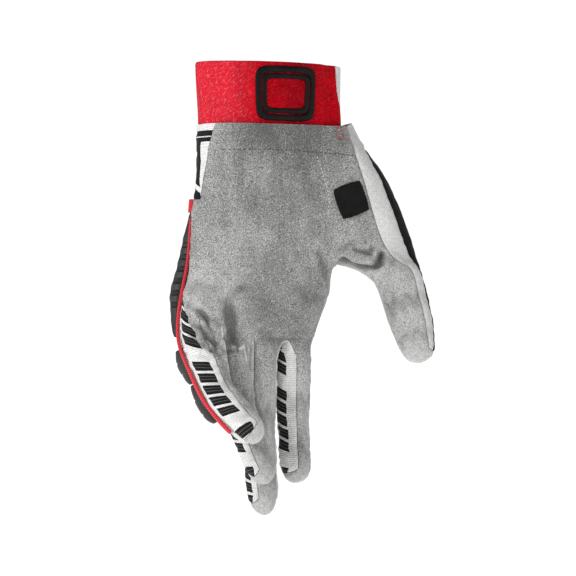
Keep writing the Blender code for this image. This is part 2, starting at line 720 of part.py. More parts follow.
def build_piping(path, spots, normals):
    """Cord along the seam between the side panel and the back."""
    rise = PIPING_RADIUS + SEAM_GAP * 1.3
    line = seam_line(path, spots, normals, rise, TRIMS["piping_top"], TRIMS["piping_end"])
    ahead = np.gradient(line, axis=0)
    ahead = ahead / np.linalg.norm(ahead, axis=1)[:, None]
    across = np.cross(ahead, np.array([0.0, 1.0, 0.0]))
    across = across / np.linalg.norm(across, axis=1)[:, None]
    other = np.cross(ahead, across)
    turns = np.arange(8) / 8 * 2 * pi
    rings = (line[:, None, :] + across[:, None, :] * np.cos(turns)[None, :, None] * PIPING_RADIUS
             + other[:, None, :] * np.sin(turns)[None, :, None] * PIPING_RADIUS)
    loft("red_piping", rings, "red_cord", False)


def build_tab(path, spots, normals):
    """Small folded tab that stands out of the seam above the piping."""
    line = spots[path]
    down = (-CUFF_HEIGHT - line[:, 2]) / PALM_LENGTH
    half = TAB_LENGTH / 12
    sections = []
    for share in np.linspace(0, 1, 5):
        at = TRIMS["tab_top"] + (TRIMS["tab_end"] - TRIMS["tab_top"]) * share
        root = np.array([np.interp(at, down, line[:, c]) for c in range(3)])
        out = np.array([np.interp(at, down, normals[path][:, c]) for c in range(3)])
        out[2] = 0
        out = out / np.linalg.norm(out)
        side = np.array([-out[1], out[0], 0.0])
        reach = TAB_REACH * (1 - 0.25 * abs(2 * share - 1) ** 3)
        corners = [(-1, SEAM_GAP * 2), (1, SEAM_GAP * 2), (1, reach * 0.85), (0.5, reach),
                   (-0.5, reach), (-1, reach * 0.85)]
        sections.append([root + side * half * a + out * b for a, b in corners])
    loft("red_tab", sections, "red_tape", False)


cage_points, cage_faces, cage_panels = build_cage()
spots, normals, quads, labels = round_cage(cage_points, cage_faces, cage_panels)
beyond = seam_edges(quads, labels)
for i in range(len(PANELS)):
    build_panel(i, spots, normals, quads, labels, beyond)

skin = BVHTree.FromPolygons([Vector(p) for p in spots], [list(map(int, q)) for q in quads])
hem, under = hem_loops(quads, beyond, spots)
rings = build_cuff(spots, normals, hem, under)
band_points = rings.reshape(-1, 3)
around = len(hem)
band_faces = []
for r in range(len(rings) - 1):
    for p in range(around):
        q = (p + 1) % around
        band_faces.append([r * around + p, (r + 1) * around + p, (r + 1) * around + q,
                           r * around + q])
thicken(add_object("cuff_band", band_points, band_faces, "red_knit"), CUFF_WALL, -1.0)
build_cuff_trims(rings)
build_label(skin)
side_seam = trace_seam(beyond, 5, 1, spots)
build_guard(skin, side_seam, spots)
build_pads(skin)
build_piping(side_seam, spots, normals)
build_tab(side_seam, spots, normals)
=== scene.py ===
# Looks of the left-hand mountain bike glove. The skin of the hand is worked out again from the
# same section and finger formulas as the frame, folded, cut into its panels, then sewn and trimmed.
import bpy
import numpy as np
from math import radians, pi
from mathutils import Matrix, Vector
from mathutils.bvhtree import BVHTree


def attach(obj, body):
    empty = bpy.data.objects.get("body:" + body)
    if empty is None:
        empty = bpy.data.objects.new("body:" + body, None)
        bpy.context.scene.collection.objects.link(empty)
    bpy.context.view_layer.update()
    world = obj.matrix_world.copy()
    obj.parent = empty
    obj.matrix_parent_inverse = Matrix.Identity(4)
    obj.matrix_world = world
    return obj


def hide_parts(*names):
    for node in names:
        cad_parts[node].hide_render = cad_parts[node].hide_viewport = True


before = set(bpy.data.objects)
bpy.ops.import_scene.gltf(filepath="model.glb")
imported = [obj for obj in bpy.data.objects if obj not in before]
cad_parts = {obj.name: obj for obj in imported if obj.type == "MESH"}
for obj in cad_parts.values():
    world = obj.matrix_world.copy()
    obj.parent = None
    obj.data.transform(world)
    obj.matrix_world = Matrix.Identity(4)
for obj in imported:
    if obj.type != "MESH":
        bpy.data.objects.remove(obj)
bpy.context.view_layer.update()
print("frame loaded")

scene = bpy.context.scene
scene.view_settings.view_transform = "Standard"
scene.view_settings.look = "None"

# camera and studio, metres and degrees
studio = dict(turn=-30, distance=1.4, aim=(0.00964, -0.00557, -0.1182), lens=165.1, floorDrop=0.285,
              skyStrength=0.39, skySeen=1.05, keyPower=13.5, fillPower=2.6)

aim = np.array(studio["aim"])
cameraData = bpy.data.cameras.new("camera")
cameraData.lens = studio["lens"]
cameraData.sensor_width = 36
cameraData.clip_start = 0.05
camera = bpy.data.objects.new("camera", cameraData)
camera.rotation_euler = (radians(90), 0, radians(studio["turn"]))
lookBack = np.array([np.sin(radians(studio["turn"])), -np.cos(radians(studio["turn"])), 0])
camera.location = aim + lookBack * studio["distance"]
scene.collection.objects.link(camera)
scene.camera = camera


# one socket value or link per entry of inputs, node settings as keywords
def addNode(tree, kind, inputs=None, **settings):
    node = tree.nodes.new(kind)
    for name, value in settings.items():
        setattr(node, name, value)
    for key, value in (inputs or {}).items():
        if isinstance(value, bpy.types.NodeSocket):
            tree.links.new(value, node.inputs[key])
        else:
            node.inputs[key].default_value = value
    return node


# sRGB hex to linear: v / 12.92 below 0.04045, else ((v + 0.055) / 1.055) to the 2.4
def hexColour(code):
    part = np.array([int(code[i:i + 2], 16) for i in (1, 3, 5)]) / 255
    linear = np.where(part <= 0.04045, part / 12.92, ((part + 0.055) / 1.055) ** 2.4)
    return (*linear.tolist(), 1.0)


def newMaterial(name):
    material = bpy.data.materials.new(name)
    material.use_nodes = True
    tree = material.node_tree
    return material, tree, tree.nodes["Principled BSDF"]


def setShader(shader, **values):
    for name, value in values.items():
        shader.inputs[name.replace("_", " ")].default_value = value


# a mesh of computed points with its material, smooth, at the origin, riding on the frame
def addPiece(name, points, faces, material, node=None, fields=None):
    mesh = bpy.data.meshes.new(name)
    mesh.from_pydata(np.asarray(points).tolist(), [], [[int(i) for i in f] for f in faces])
    mesh.update()
    mesh.polygons.foreach_set("use_smooth", np.ones(len(mesh.polygons), bool))
    mesh.materials.append(material)
    for field, values in (fields or {}).items():
        layer = mesh.attributes.new(field, "FLOAT", "POINT")
        layer.data.foreach_set("value", np.asarray(values, np.float32))
    piece = bpy.data.objects.new(name, mesh)
    scene.collection.objects.link(piece)
    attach(piece, "root")
    if node:
        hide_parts(node)
    return piece


# ---- the skin of the hand ----
# sections of the palm from hem to finger roots; places across are shares of the palm width,
# cups and half thicknesses shares of its thickness, seams degrees towards the palm
hand = dict(
    cuffHeight=0.0325, stripLift=0.004, palmLength=0.113, palmWidth=0.090, palmThickness=0.031,
    fingerLength=0.100, thumbLength=0.062, power=2.6, webLift=0.10, thumbRow=4,
    cuffWidth=0.085, cuffDepth=0.046, cuffTuck=0.008, cuffWall=0.002, clothWall=0.0012,
    lanes=np.array([0.0, 0.230, 0.480, 0.720, 1.0]),
    down=np.array([0.00, 0.09, 0.25, 0.425, 0.62, 0.743, 0.876, 1.00]),
    ulnar=np.array([-0.456, -0.456, -0.474, -0.502, -0.533, -0.560, -0.600, -0.622]),
    web=np.array([0.222, 0.244, 0.278, 0.333, 0.389, 0.411, 0.378, 0.333]),
    thumb=np.array([0.572, 0.645, 0.760, 0.835, 0.905, 0.411, 0.378, 0.333]),
    cupUlnar=np.array([0.03, 0.06, 0.10, 0.16, 0.26, 0.32, 0.39, 0.45]),
    cupThumb=np.array([0.12, 0.40, 0.68, 0.94, 1.02, 0.25, 0.08, 0.0]),
    palmar=np.array([0.71, 0.71, 0.65, 0.58, 0.52, 0.48, 0.435, 0.39]),
    dorsal=np.array([0.71, 0.65, 0.55, 0.52, 0.48, 0.50, 0.515, 0.485]),
    ulnarPalm=np.array([30, 16, 2, -13, -13, -8, 18, 40]),
    ulnarMiddle=np.array([-5, -12, -16, -16, -16, -15, -8, 2]),
    ulnarBack=np.array([-35, -36, -32, -19, -24, -22, -32, -36]),
    thumbPalm=np.array([45, 49, 50, 50, 48, 30, 35, 40]),
    thumbMiddle=np.array([6, 26, 32, 33, 30, 0, 0, 0]),
    thumbBack=np.array([-40, -28, -22, -20, -24, -40, -40, -40]))
fingers = [
    dict(name="little", x=-0.541, y=-0.36, length=0.0683, width=0.200, depth=0.61, taper=0.05,
         twist=33, splay=-1, root=26, middle=16, end=15, palmLeft=22, palmRight=58),
    dict(name="ring", x=-0.289, y=-0.13, length=0.0845, width=0.203, depth=0.59, taper=0.05,
         twist=17, splay=1.5, root=13, middle=10, end=10, palmLeft=60, palmRight=60),
    dict(name="middle", x=-0.050, y=0.0, length=0.099, width=0.208, depth=0.60, taper=0.05,
         twist=2, splay=-3, root=3, middle=7, end=5, palmLeft=50, palmRight=50),
    dict(name="index", x=0.172, y=-0.03, length=0.082, width=0.208, depth=0.60, taper=0.05,
         twist=8, splay=-4.5, root=4, middle=5, end=4, palmLeft=20, palmRight=50),
    dict(name="thumb", x=0.690, y=-0.87, length=0.062, width=0.278, depth=0.774, taper=0.27,
         twist=-42, splay=17, root=7, middle=4, end=6, palmLeft=50, palmRight=56)]
stations = dict(at=np.array([0.11, 0.27, 0.43, 0.58, 0.74, 0.89]),
                width=np.array([1.0, 0.98, 1.0, 0.96, 0.95, 0.86]),
                depth=np.array([1.0, 0.98, 1.0, 0.95, 0.93, 0.84]),
                middleJoint=0.43, endJoint=0.74, reach=0.12, swell=1.108)
panelNames = ["palm", "back", "thumbBack", "thumbStrip", "webGusset", "ulnarSide",
              "forkLittle", "forkRing", "forkMiddle"]
panelOf = {name: i for i, name in enumerate(panelNames)}


# place on a superellipse at an angle from its side: cosine and sine over their p-norm
def sectionEdge(angle):
    across = np.cos(np.radians(angle))
    deep = np.sin(np.radians(angle))
    reach = (np.abs(across) ** hand["power"] + np.abs(deep) ** hand["power"]) ** (-1 / hand["power"])
    return across * reach, deep * reach


# bent section: the middle line falls by cup times across squared, and the half thickness,
# palmar or dorsal times deep, stands along that line's normal
def sectionPoints(rows, across, deep):
    column = {key: hand[key][rows][:, None] for key in
              ("ulnar", "thumb", "down", "cupUlnar", "cupThumb", "palmar", "dorsal")}
    low = column["ulnar"] * hand["palmWidth"]
    high = column["thumb"] * hand["palmWidth"]
    half = (high - low) / 2
    toLittle = np.maximum(0, -across)
    toThumb = np.maximum(0, across)
    bend = (column["cupUlnar"] * toLittle ** 2 + column["cupThumb"] * toThumb ** 2)
    slope = 2 * (column["cupUlnar"] * toLittle - column["cupThumb"] * toThumb)
    slope = slope * hand["palmThickness"] / half
    size = np.hypot(slope, 1)
    depth = hand["palmThickness"] * deep * np.where(deep > 0, column["palmar"], column["dorsal"])
    x = (low + high) / 2 + half * across + slope / size * depth
    y = -bend * hand["palmThickness"] - depth / size
    z = -hand["cuffHeight"] - hand["palmLength"] * column["down"] + 0 * across
    return np.stack([x, y, z], axis=-1)


# closed rings of the palm: palm columns, thumb side, back columns in reverse, little-finger side
def handRings(rows, withThumb):
    low = hand["ulnar"][rows][:, None]
    web = hand["web"][rows][:, None]
    high = hand["thumb"][rows][:, None]
    bounds = low + (web - low) * hand["lanes"]
    columns = np.empty((len(rows), 9))
    columns[:, 0::2] = bounds
    columns[:, 1::2] = (bounds[:, 1:] + bounds[:, :-1]) / 2
    if withThumb:
        columns = np.hstack([columns, (web + high) / 2, high])
    across = (2 * columns - low - high) / (high - low)
    deep = np.maximum(0, 1 - np.abs(across) ** hand["power"]) ** (1 / hand["power"])
    parts = []
    for sign, left, right in ((1, "ulnarPalm", "thumbPalm"), (-1, "ulnarBack", "thumbBack")):
        a = across.copy()
        d = deep * sign
        edge = sectionEdge(hand[left][rows])
        a[:, 0], d[:, 0] = -edge[0], edge[1]
        a[:, -1], d[:, -1] = sectionEdge(hand[right][rows])
        parts.append((a, d))
    (palmA, palmD), (backA, backD) = parts
    radial = sectionEdge(hand["thumbMiddle"][rows])
    little = sectionEdge(hand["ulnarMiddle"][rows])
    ringA = np.hstack([palmA, radial[0][:, None], backA[:, ::-1], -little[0][:, None]])
    ringD = np.hstack([palmD, radial[1][:, None], backD[:, ::-1], little[1][:, None]])
    return sectionPoints(rows, ringA, ringD)


# middle line of a finger: the sum of short steps whose angle grows smoothly at each joint
def fingerLine(finger, share):
    share = np.atleast_1d(share)
    twist = radians(finger["twist"])
    splay = radians(finger["splay"])
    palmDir = np.array([np.sin(twist), -np.cos(twist), 0])
    sideDir = np.array([np.cos(twist), np.sin(twist), 0])
    up = np.array([0, 0, 1.0])
    downDir = sideDir * np.sin(splay) - up * np.cos(splay)
    side = sideDir * np.cos(splay) + up * np.sin(splay)

    def bend(s):
        angle = radians(finger["root"]) + 0 * s
        for joint, key in ((stations["middleJoint"], "middle"), (stations["endJoint"], "end")):
            part = np.clip((s - joint + stations["reach"]) / (2 * stations["reach"]), 0, 1)
            angle = angle + radians(finger[key]) * part * part * (3 - 2 * part)
        return angle[:, None]

    fine = (np.arange(600) + 0.5) / 600
    steps = np.cos(bend(fine)) * downDir + np.sin(bend(fine)) * palmDir
    run = np.vstack([np.zeros(3), np.cumsum(steps, axis=0)]) / 600
    row = hand["thumbRow"] if finger["name"] == "thumb" else -1
    start = np.array([finger["x"] * hand["palmWidth"], finger["y"] * hand["palmThickness"],
                      -hand["cuffHeight"] - hand["palmLength"] * hand["down"][row]])
    grid = np.linspace(0, 1, 601)
    centre = start + finger["length"] * np.stack([np.interp(share, grid, run[:, c]) for c in range(3)], 1)
    last = bend(share)
    return centre, side, palmDir * np.cos(last) - downDir * np.sin(last)


# rings of a finger: an ellipse around its middle line, eight places at the seam angles
def fingerRings(finger):
    left = finger["palmLeft"]
    right = finger["palmRight"]
    angles = [-left, (right - left) / 2, right, 90, 130, 180, 230, (590 - left) / 2]
    if finger["name"] == "thumb":
        angles[3:5] = [84, 124]
    turn = np.radians(angles)
    centre, side, palm = fingerLine(finger, stations["at"])
    slim = stations["swell"] * (1 - finger["taper"] * stations["at"] ** 2)
    halfWidth = finger["width"] * hand["palmWidth"] / 2 * slim * stations["width"]
    halfDepth = finger["depth"] * hand["palmThickness"] / 2 * slim * stations["depth"]
    return (centre[:, None] + side * (np.sin(turn)[None, :, None] * halfWidth[:, None, None])
            + palm[:, None] * (np.cos(turn)[None, :, None] * halfDepth[:, None, None]))


# faces of closed rings of point numbers, one row of faces between each two rings
def closedGrid(index):
    beside = np.roll(index, -1, axis=1)
    return np.stack([index[:-1], index[1:], beside[1:], beside[:-1]], axis=-1).reshape(-1, 4)


# faces of an open grid of rows and columns
def openGrid(rows, columns):
    index = np.arange(rows * columns).reshape(rows, columns)
    return np.stack([index[:-1, :-1], index[:-1, 1:], index[1:, 1:], index[1:, :-1]], axis=-1).reshape(-1, 4)


# the coarse cage of the hand: points, faces, panel and limb of each face, way along of each point
def buildCage():
    upper = handRings(np.arange(5), True)
    upper[0, 11, 2] += hand["stripLift"]
    lower = handRings(np.arange(5, 8), False)
    lift = np.array([0, 0, hand["webLift"] * hand["palmThickness"]])
    thumbWeb = (upper[4, 8] + upper[4, 14]) / 2 + lift
    root = lower[2]
    webs = (root[[2, 4, 6]] + root[[16, 14, 12]]) / 2 + lift
    points = [upper.reshape(-1, 3), lower.reshape(-1, 3), thumbWeb[None], webs]
    alongs = [np.repeat(hand["down"][:5], 24), np.repeat(hand["down"][5:], 20), hand["down"][4:5],
              np.ones(3)]
    alongs = [a * hand["palmLength"] for a in alongs]
    upperIndex = np.arange(120).reshape(5, 24)
    lowerIndex = np.arange(120, 180).reshape(3, 20)
    cut = np.concatenate([upperIndex[4, :9], [180], upperIndex[4, 14:]])
    upperPanel = np.full((4, 24), panelOf["palm"])
    upperPanel[:, 10:12] = panelOf["thumbStrip"]
    upperPanel[1:, 11] = panelOf["thumbBack"]
    upperPanel[:, 12:22] = panelOf["back"]
    upperPanel[1:, 12:14] = panelOf["thumbBack"]
    upperPanel[:, 22:] = panelOf["ulnarSide"]
    lowerPanel = np.full((3, 20), panelOf["palm"])
    lowerPanel[:, 8:10] = panelOf["webGusset"]
    lowerPanel[:, 10:18] = panelOf["back"]
    lowerPanel[:, 18:] = panelOf["ulnarSide"]
    faces = [closedGrid(upperIndex), closedGrid(np.vstack([cut, lowerIndex]))]
    panels = [upperPanel.ravel(), lowerPanel.ravel()]
    limbs = [np.full(96, -1), np.full(60, -1)]
    last = lowerIndex[2]
    side = [last[19], 181, 182, 183, last[9]]
    inner = ["ulnarSide", "forkLittle", "forkRing", "forkMiddle", "webGusset"]
    outer = ["forkLittle", "forkRing", "forkMiddle", "webGusset", "thumbStrip"]
    count = 184
    for i, finger in enumerate(fingers):
        isThumb = finger["name"] == "thumb"
        if isThumb:
            first = upperIndex[4, [8, 9, 10, 11, 12, 13, 14]].tolist() + [180]
        else:
            first = [last[2 * i], last[2 * i + 1], last[2 * i + 2], side[i + 1],
                     last[16 - 2 * i], last[17 - 2 * i], last[18 - 2 * i], side[i]]
        index = np.vstack([first, count + np.arange(48).reshape(6, 8)])
        back = "thumbBack" if isThumb else "back"
        names = ["palm", "palm", outer[i], back if isThumb else outer[i], back, back, inner[i], inner[i]]
        tip = count + 48
        ring = index[-1]
        cap = [[ring[0], ring[7], tip, ring[1]], [ring[1], tip, ring[3], ring[2]],
               [ring[7], ring[6], ring[5], tip], [tip, ring[5], ring[4], ring[3]]]
        start = hand["palmLength"] * hand["down"][hand["thumbRow"] if isThumb else -1]
        points += [fingerRings(finger).reshape(-1, 3), fingerLine(finger, 1.0)[0]]
        alongs += [start + finger["length"] * np.repeat(stations["at"], 8), [start + finger["length"]]]
        faces += [closedGrid(index), np.array(cap)]
        panels += [np.tile([panelOf[n] for n in names], 6), np.full(4, panelOf["palm"])]
        limbs += [np.full(52, i)]
        count += 49
    return (np.vstack(points), np.vstack(faces), np.concatenate(panels), np.concatenate(limbs),
            np.concatenate(alongs))


# the cage rounded by a subdivision surface and read back as arrays
def roundCage(level):
    points, faces, panels, limbs, alongs = buildCage()
    mesh = bpy.data.meshes.new("handCage")
    mesh.from_pydata(points.tolist(), [], faces.tolist())
    mesh.attributes.new("along", "FLOAT", "POINT").data.foreach_set("value", alongs.astype(np.float32))
    cage = bpy.data.objects.new("handCage", mesh)
    scene.collection.objects.link(cage)
    smooth = cage.modifiers.new("smooth", "SUBSURF")
    smooth.levels = level
    smooth.render_levels = level
    graph = bpy.context.evaluated_depsgraph_get()
    body = cage.evaluated_get(graph).to_mesh()
    spots = np.empty(len(body.vertices) * 3)
    body.vertices.foreach_get("co", spots)
    normals = np.empty(len(body.vertices) * 3)
    body.vertices.foreach_get("normal", normals)
    quads = np.empty(len(body.polygons) * 4, int)
    body.loops.foreach_get("vertex_index", quads)
    along = np.empty(len(body.vertices), np.float32)
    body.attributes["along"].data.foreach_get("value", along)
    cage.evaluated_get(graph).to_mesh_clear()
    bpy.data.objects.remove(cage, do_unlink=True)
    share = 4 ** level
    return (spots.reshape(-1, 3), normals.reshape(-1, 3), quads.reshape(-1, 4),
            np.repeat(panels, share), np.repeat(limbs, share), along.astype(float))


skinLevel = 4
spots, normals, quads, labels, limbs, along = roundCage(skinLevel)
count = len(spots)
print("skin", count, "points", len(quads), "faces")


# distance of every point from a set of points, carried along the edges of the skin
def spread(sources, rounds):
    far = np.full(count, 0.05)
    far[sources] = 0
    a = quads.ravel()
    b = np.roll(quads, -1, axis=1).ravel()
    span = np.linalg.norm(spots[a] - spots[b], axis=1)
    for _ in range(rounds):
        np.minimum.at(far, b, far[a] + span)
        np.minimum.at(far, a, far[b] + span)
    return far


lowLabel = np.full(count, 99)
highLabel = np.full(count, -1)
np.minimum.at(lowLabel, quads.ravel(), np.repeat(labels, 4))
np.maximum.at(highLabel, quads.ravel(), np.repeat(labels, 4))
seamFar = spread(lowLabel != highLabel, 10)
limbOf = np.full(count, -1)
np.maximum.at(limbOf, quads.ravel(), np.repeat(limbs, 4))

# place of each point on its finger: share of the length, towards the palm and to the side
share = np.zeros(count)
palmward = -spots[:, 1].copy()
sideward = spots[:, 0].copy()
for i, finger in enumerate(fingers):
    mine = limbOf == i
    start = hand["palmLength"] * hand["down"][hand["thumbRow"] if i == 4 else -1]
    share[mine] = np.clip((along[mine] - start) / finger["length"], 0, 1)
    centre, side, palm = fingerLine(finger, share[mine])
    offset = spots[mine] - centre
    palmward[mine] = np.sum(offset * palm, axis=1)
    sideward[mine] = offset @ side
facing = np.clip(0.5 - normals[:, 1] * 0.9, 0, 1)  # 1 on the palm side, 0 on the back

# folds, millimetres: lines as x and z on the palm side, width and depth of the crease
folds = [
    dict(line=[(-36, -50), (-33, -64), (-33, -84)], width=3.2, depth=0.45),
    dict(line=[(-26, -48), (-25, -60), (-27, -76)], width=2.6, depth=0.40),
    dict(line=[(-15, -50), (-16, -62), (-19, -76)], width=3.0, depth=0.3),
    dict(line=[(10, -52), (13, -60), (14, -70)], width=2.8, depth=0.3),
    dict(line=[(36, -103.5), (39.5, -106), (44, -107.6), (48.5, -107), (52, -104.2), (54, -100)], width=1.4, depth=2.8),
    dict(line=[(40, -102.5), (46, -103.5)], width=2.4, depth=-1.3),
    dict(line=[(41, -98), (47, -99.5), (50, -97)], width=1.3, depth=1.1),
    dict(line=[(33, -98), (41, -94)], width=1.7, depth=0.7),
    dict(line=[(22, -100), (27, -108), (30, -116)], width=2.4, depth=0.7),
    dict(line=[(-31, -130), (-29, -137), (-28, -145)], width=4.2, depth=1.9),
    dict(line=[(-54, -124), (-47, -132), (-38, -136)], width=1.8, depth=1.1),
    dict(line=[(-54, -132), (-47, -140), (-41, -149)], width=1.7, depth=1.5),
    dict(line=[(-47, -130), (-42, -140), (-38, -149)], width=1.5, depth=1.2),
    dict(line=[(-52, -142), (-46, -149), (-38, -154)], width=1.6, depth=1.5),
    dict(line=[(-41, -147), (-33, -151.5), (-25, -151)], width=1.5, depth=1.2),
    dict(line=[(-30, -141), (-24, -149)], width=1.5, depth=1.0),
    dict(line=[(-22, -140), (-20, -150)], width=2.0, depth=0.7),
    dict(line=[(-24, -118), (-30, -124), (-40, -125)], width=2.6, depth=0.6),
    dict(line=[(-10, -142), (2, -146), (14, -142)], width=3.0, depth=0.5),
    dict(line=[(10, -118), (18, -124), (26, -124)], width=3.5, depth=0.55),
    dict(line=[(-50, -116), (-36, -121), (-20, -118)], width=3.5, depth=0.5)]
wrinkles = [
    dict(x=-40, z=-141, reach=15, size=13, stretch=0.6, depth=0.75, seed=21),
    dict(x=-24, z=-148, reach=9, size=11, stretch=0.6, depth=0.5, seed=22),
    dict(x=46, z=-101, reach=8, size=10, stretch=1.2, depth=0.6, seed=23),
    dict(x=22, z=-112, reach=10, size=13, stretch=1.0, depth=0.3, seed=24)]
surface = dict(edgeDrop=0.00055, edgeReach=0.0022, hemStep=0.00035, hemDeep=0.0135, jointDepth=0.0006,
               jointWidth=0.045, unevenSize=0.022, unevenDepth=0.00032, fineSize=0.007, fineDepth=0.00012,
               puckerSize=0.0032, puckerDepth=0.00016, ruckSize=0.0046, ruckDepth=0.00020)


# distance in the x-z plane from a broken line: nearest of its segments
def lineFar(points, line):
    line = np.array(line) / 1000
    flat = points[:, [0, 2]]
    best = np.full(len(points), 1.0)
    for a, b in zip(line[:-1], line[1:]):
        run = b - a
        t = np.clip((flat - a) @ run / (run @ run), 0, 1)
        best = np.minimum(best, np.linalg.norm(flat - a - t[:, None] * run, axis=1))
    return best


# soft unevenness: the mean of plane waves of one length in seeded directions
def uneven(points, size, seed, waves=14):
    random = np.random.default_rng(seed)
    way = random.normal(size=(waves, 3))
    way = way / np.linalg.norm(way, axis=1)[:, None] * 2 * pi / size
    way = way * random.uniform(0.6, 1.5, (waves, 1))
    return np.sin(points @ way.T + random.uniform(0, 2 * pi, waves)).sum(axis=1) / waves ** 0.5


def smoothStep(low, high, value):
    part = np.clip((value - low) / (high - low), 0, 1)
    return part * part * (3 - 2 * part)


# height of the cloth over the smooth skin: creases are bell-shaped valleys with soft shoulders
crease = np.zeros(count)
for fold in folds:
    far = lineFar(spots, fold["line"]) / (fold["width"] / 1000)
    bell = np.exp(-far ** 2) - 0.35 * np.exp(-(far - 1.9) ** 2)
    crease += fold["depth"] / 1000 * bell * smoothStep(0.35, 0.8, facing)
for joint, deep in ((0.02, 0.8), (0.40, 1.0), (0.47, 0.6), (0.73, 0.8)):
    wave = 0.03 * np.sin(sideward * 900 + limbOf * 2.0)
    bell = np.exp(-((share - joint - wave) / surface["jointWidth"]) ** 2)
    palmSide = smoothStep(-0.002, 0.006, palmward)
    crease += np.where(limbOf >= 0, surface["jointDepth"] * deep * bell * palmSide, 0)
# loose cloth wrinkles: thin valleys along the zero lines of a soft unevenness
for loose in wrinkles:
    far = np.hypot(spots[:, 0] * 1000 - loose["x"], (spots[:, 2] * 1000 - loose["z"]) * 0.8) / loose["reach"]
    wander = uneven(spots * np.array([1, 1, loose["stretch"]]), loose["size"] / 1000, loose["seed"])
    bell = np.exp(-(wander / 0.28) ** 2) * np.exp(-far ** 2)
    crease += loose["depth"] / 1000 * bell * smoothStep(0.3, 0.6, facing)
isPalm = lowLabel == panelOf["palm"]
height = uneven(spots, surface["unevenSize"], 3) * surface["unevenDepth"]
height += uneven(spots, surface["fineSize"], 5) * surface["fineDepth"]
height -= crease
flush = (along > 0.039) & (along < 0.096) & (spots[:, 0] < -0.03) & (np.minimum(lowLabel, 1) < 1)
flush = flush | ((highLabel == panelOf["ulnarSide"]) & (along > 0.039) & (along < 0.096) & (lowLabel != 1))
flush = flush | ((lowLabel == panelOf["palm"]) & (highLabel == panelOf["webGusset"]))
groove = np.where(flush, 0.0, 1.0) * surface["edgeDrop"]
height -= groove * np.clip(1 - seamFar / surface["edgeReach"], 0, 1) ** 2
isFork = lowLabel >= panelOf["ulnarSide"]
height += isFork * uneven(spots * np.array([0.45, 0.45, 1]), surface["ruckSize"], 31) * surface["ruckDepth"]
pucker = uneven(spots, surface["puckerSize"], 8) * np.exp(-(seamFar / 0.004) ** 2)
height += surface["puckerDepth"] * pucker
height += np.where(isPalm, surface["hemStep"] * (1 - smoothStep(surface["hemDeep"] - 0.0008,
                                                                surface["hemDeep"], along)), 0)
smoothSpots = spots.copy()
spots = spots + normals * height[:, None]
skin = BVHTree.FromPolygons(spots.tolist(), quads.tolist())
print("folds pressed in")


# points on the skin under a line of places on the palm side, evenly spaced
def layLine(line, pitch, fromBack=False):
    line = np.array(line) / 1000
    run = np.concatenate([[0], np.cumsum(np.linalg.norm(np.diff(line, axis=0), axis=1))])
    where = np.arange(0, run[-1], pitch)
    flat = np.stack([np.interp(where, run, line[:, c]) for c in range(2)], axis=1)
    sign = 1 if fromBack else -1
    hits = [skin.ray_cast(Vector((x, sign, z)), Vector((0, -sign, 0)))[:2] for x, z in flat]
    return np.array([h[0] for h in hits]), np.array([h[1] for h in hits])


# stitches: each an ellipsoid, length along the line, half sunk; all of them in one mesh
def sewStitches(name, places, outward, length, width, material, rise=0.3):
    ahead = np.gradient(places, axis=0)
    ahead = ahead / np.linalg.norm(ahead, axis=1)[:, None]
    beside = np.cross(outward, ahead)
    beside = beside / np.linalg.norm(beside, axis=1)[:, None]
    u = np.linspace(0, pi, 7)
    v = np.linspace(0, 2 * pi, 8, endpoint=False)
    cosU = np.cos(u)[None, :, None, None]
    sinU = np.sin(u)[None, :, None, None] ** 0.7
    cosV = np.cos(v)[None, None, :, None]
    sinV = np.sin(v)[None, None, :, None]
    body = ((places + outward * width * rise)[:, None, None] + ahead[:, None, None] * cosU * length / 2
            + (beside[:, None, None] * cosV + outward[:, None, None] * sinV) * sinU * width / 2)
    total = len(places)
    index = np.arange(total * 56).reshape(total, 7, 8)
    beyond = np.roll(index, -1, axis=2)
    faces = np.stack([index[:, :-1], beyond[:, :-1], beyond[:, 1:], index[:, 1:]], axis=-1).reshape(-1, 4)
    return addPiece(name, body.reshape(-1, 3), faces, material)


# ---- cloth materials ----
# value from 0 to 1 of a noise stretched along the axes; scale is per metre
def noiseAt(tree, vector, stretch, scale, detail=4.0, rough=0.6):
    mapping = addNode(tree, "ShaderNodeMapping", {"Vector": vector, "Scale": stretch})
    return addNode(tree, "ShaderNodeTexNoise", {"Vector": mapping.outputs[0], "Scale": scale, "Detail": detail,
                                                "Roughness": rough}).outputs["Fac"]


def calc(tree, operation, *values):
    return addNode(tree, "ShaderNodeMath", dict(enumerate(values)), operation=operation).outputs[0]


def field(tree, name):
    return addNode(tree, "ShaderNodeAttribute", attribute_name=name).outputs["Fac"]


# colour ramp of (place, hex) pairs
def colourRun(tree, value, stops):
    ramp = addNode(tree, "ShaderNodeValToRGB", {"Fac": value})
    ramp.color_ramp.elements[0].position, ramp.color_ramp.elements[1].position = stops[0][0], stops[-1][0]
    ramp.color_ramp.elements[0].color = hexColour(stops[0][1])
    ramp.color_ramp.elements[1].color = hexColour(stops[-1][1])
    for place, code in stops[1:-1]:
        ramp.color_ramp.elements.new(place).color = hexColour(code)
    return ramp.outputs["Color"]


# base with ink over it where the mask is 1
def overlay(tree, mask, base, ink):
    mix = addNode(tree, "ShaderNodeMix", data_type="RGBA")
    tree.links.new(mask, mix.inputs["Factor"])
    for key, value in ((6, base), (7, ink)):
        if isinstance(value, str):
            mix.inputs[key].default_value = hexColour(value)
        else:
            tree.links.new(value, mix.inputs[key])
    return mix.outputs[2]


# several heights added with their weights and turned to a bump
def bumpOf(tree, shader, distance, *parts):
    total = None
    for value, weight in parts:
        part = calc(tree, "MULTIPLY", value, weight)
        total = part if total is None else calc(tree, "ADD", total, part)
    bump = addNode(tree, "ShaderNodeBump", {"Height": total, "Strength": 1.0, "Distance": distance})
    tree.links.new(bump.outputs["Normal"], shader.inputs["Normal"])


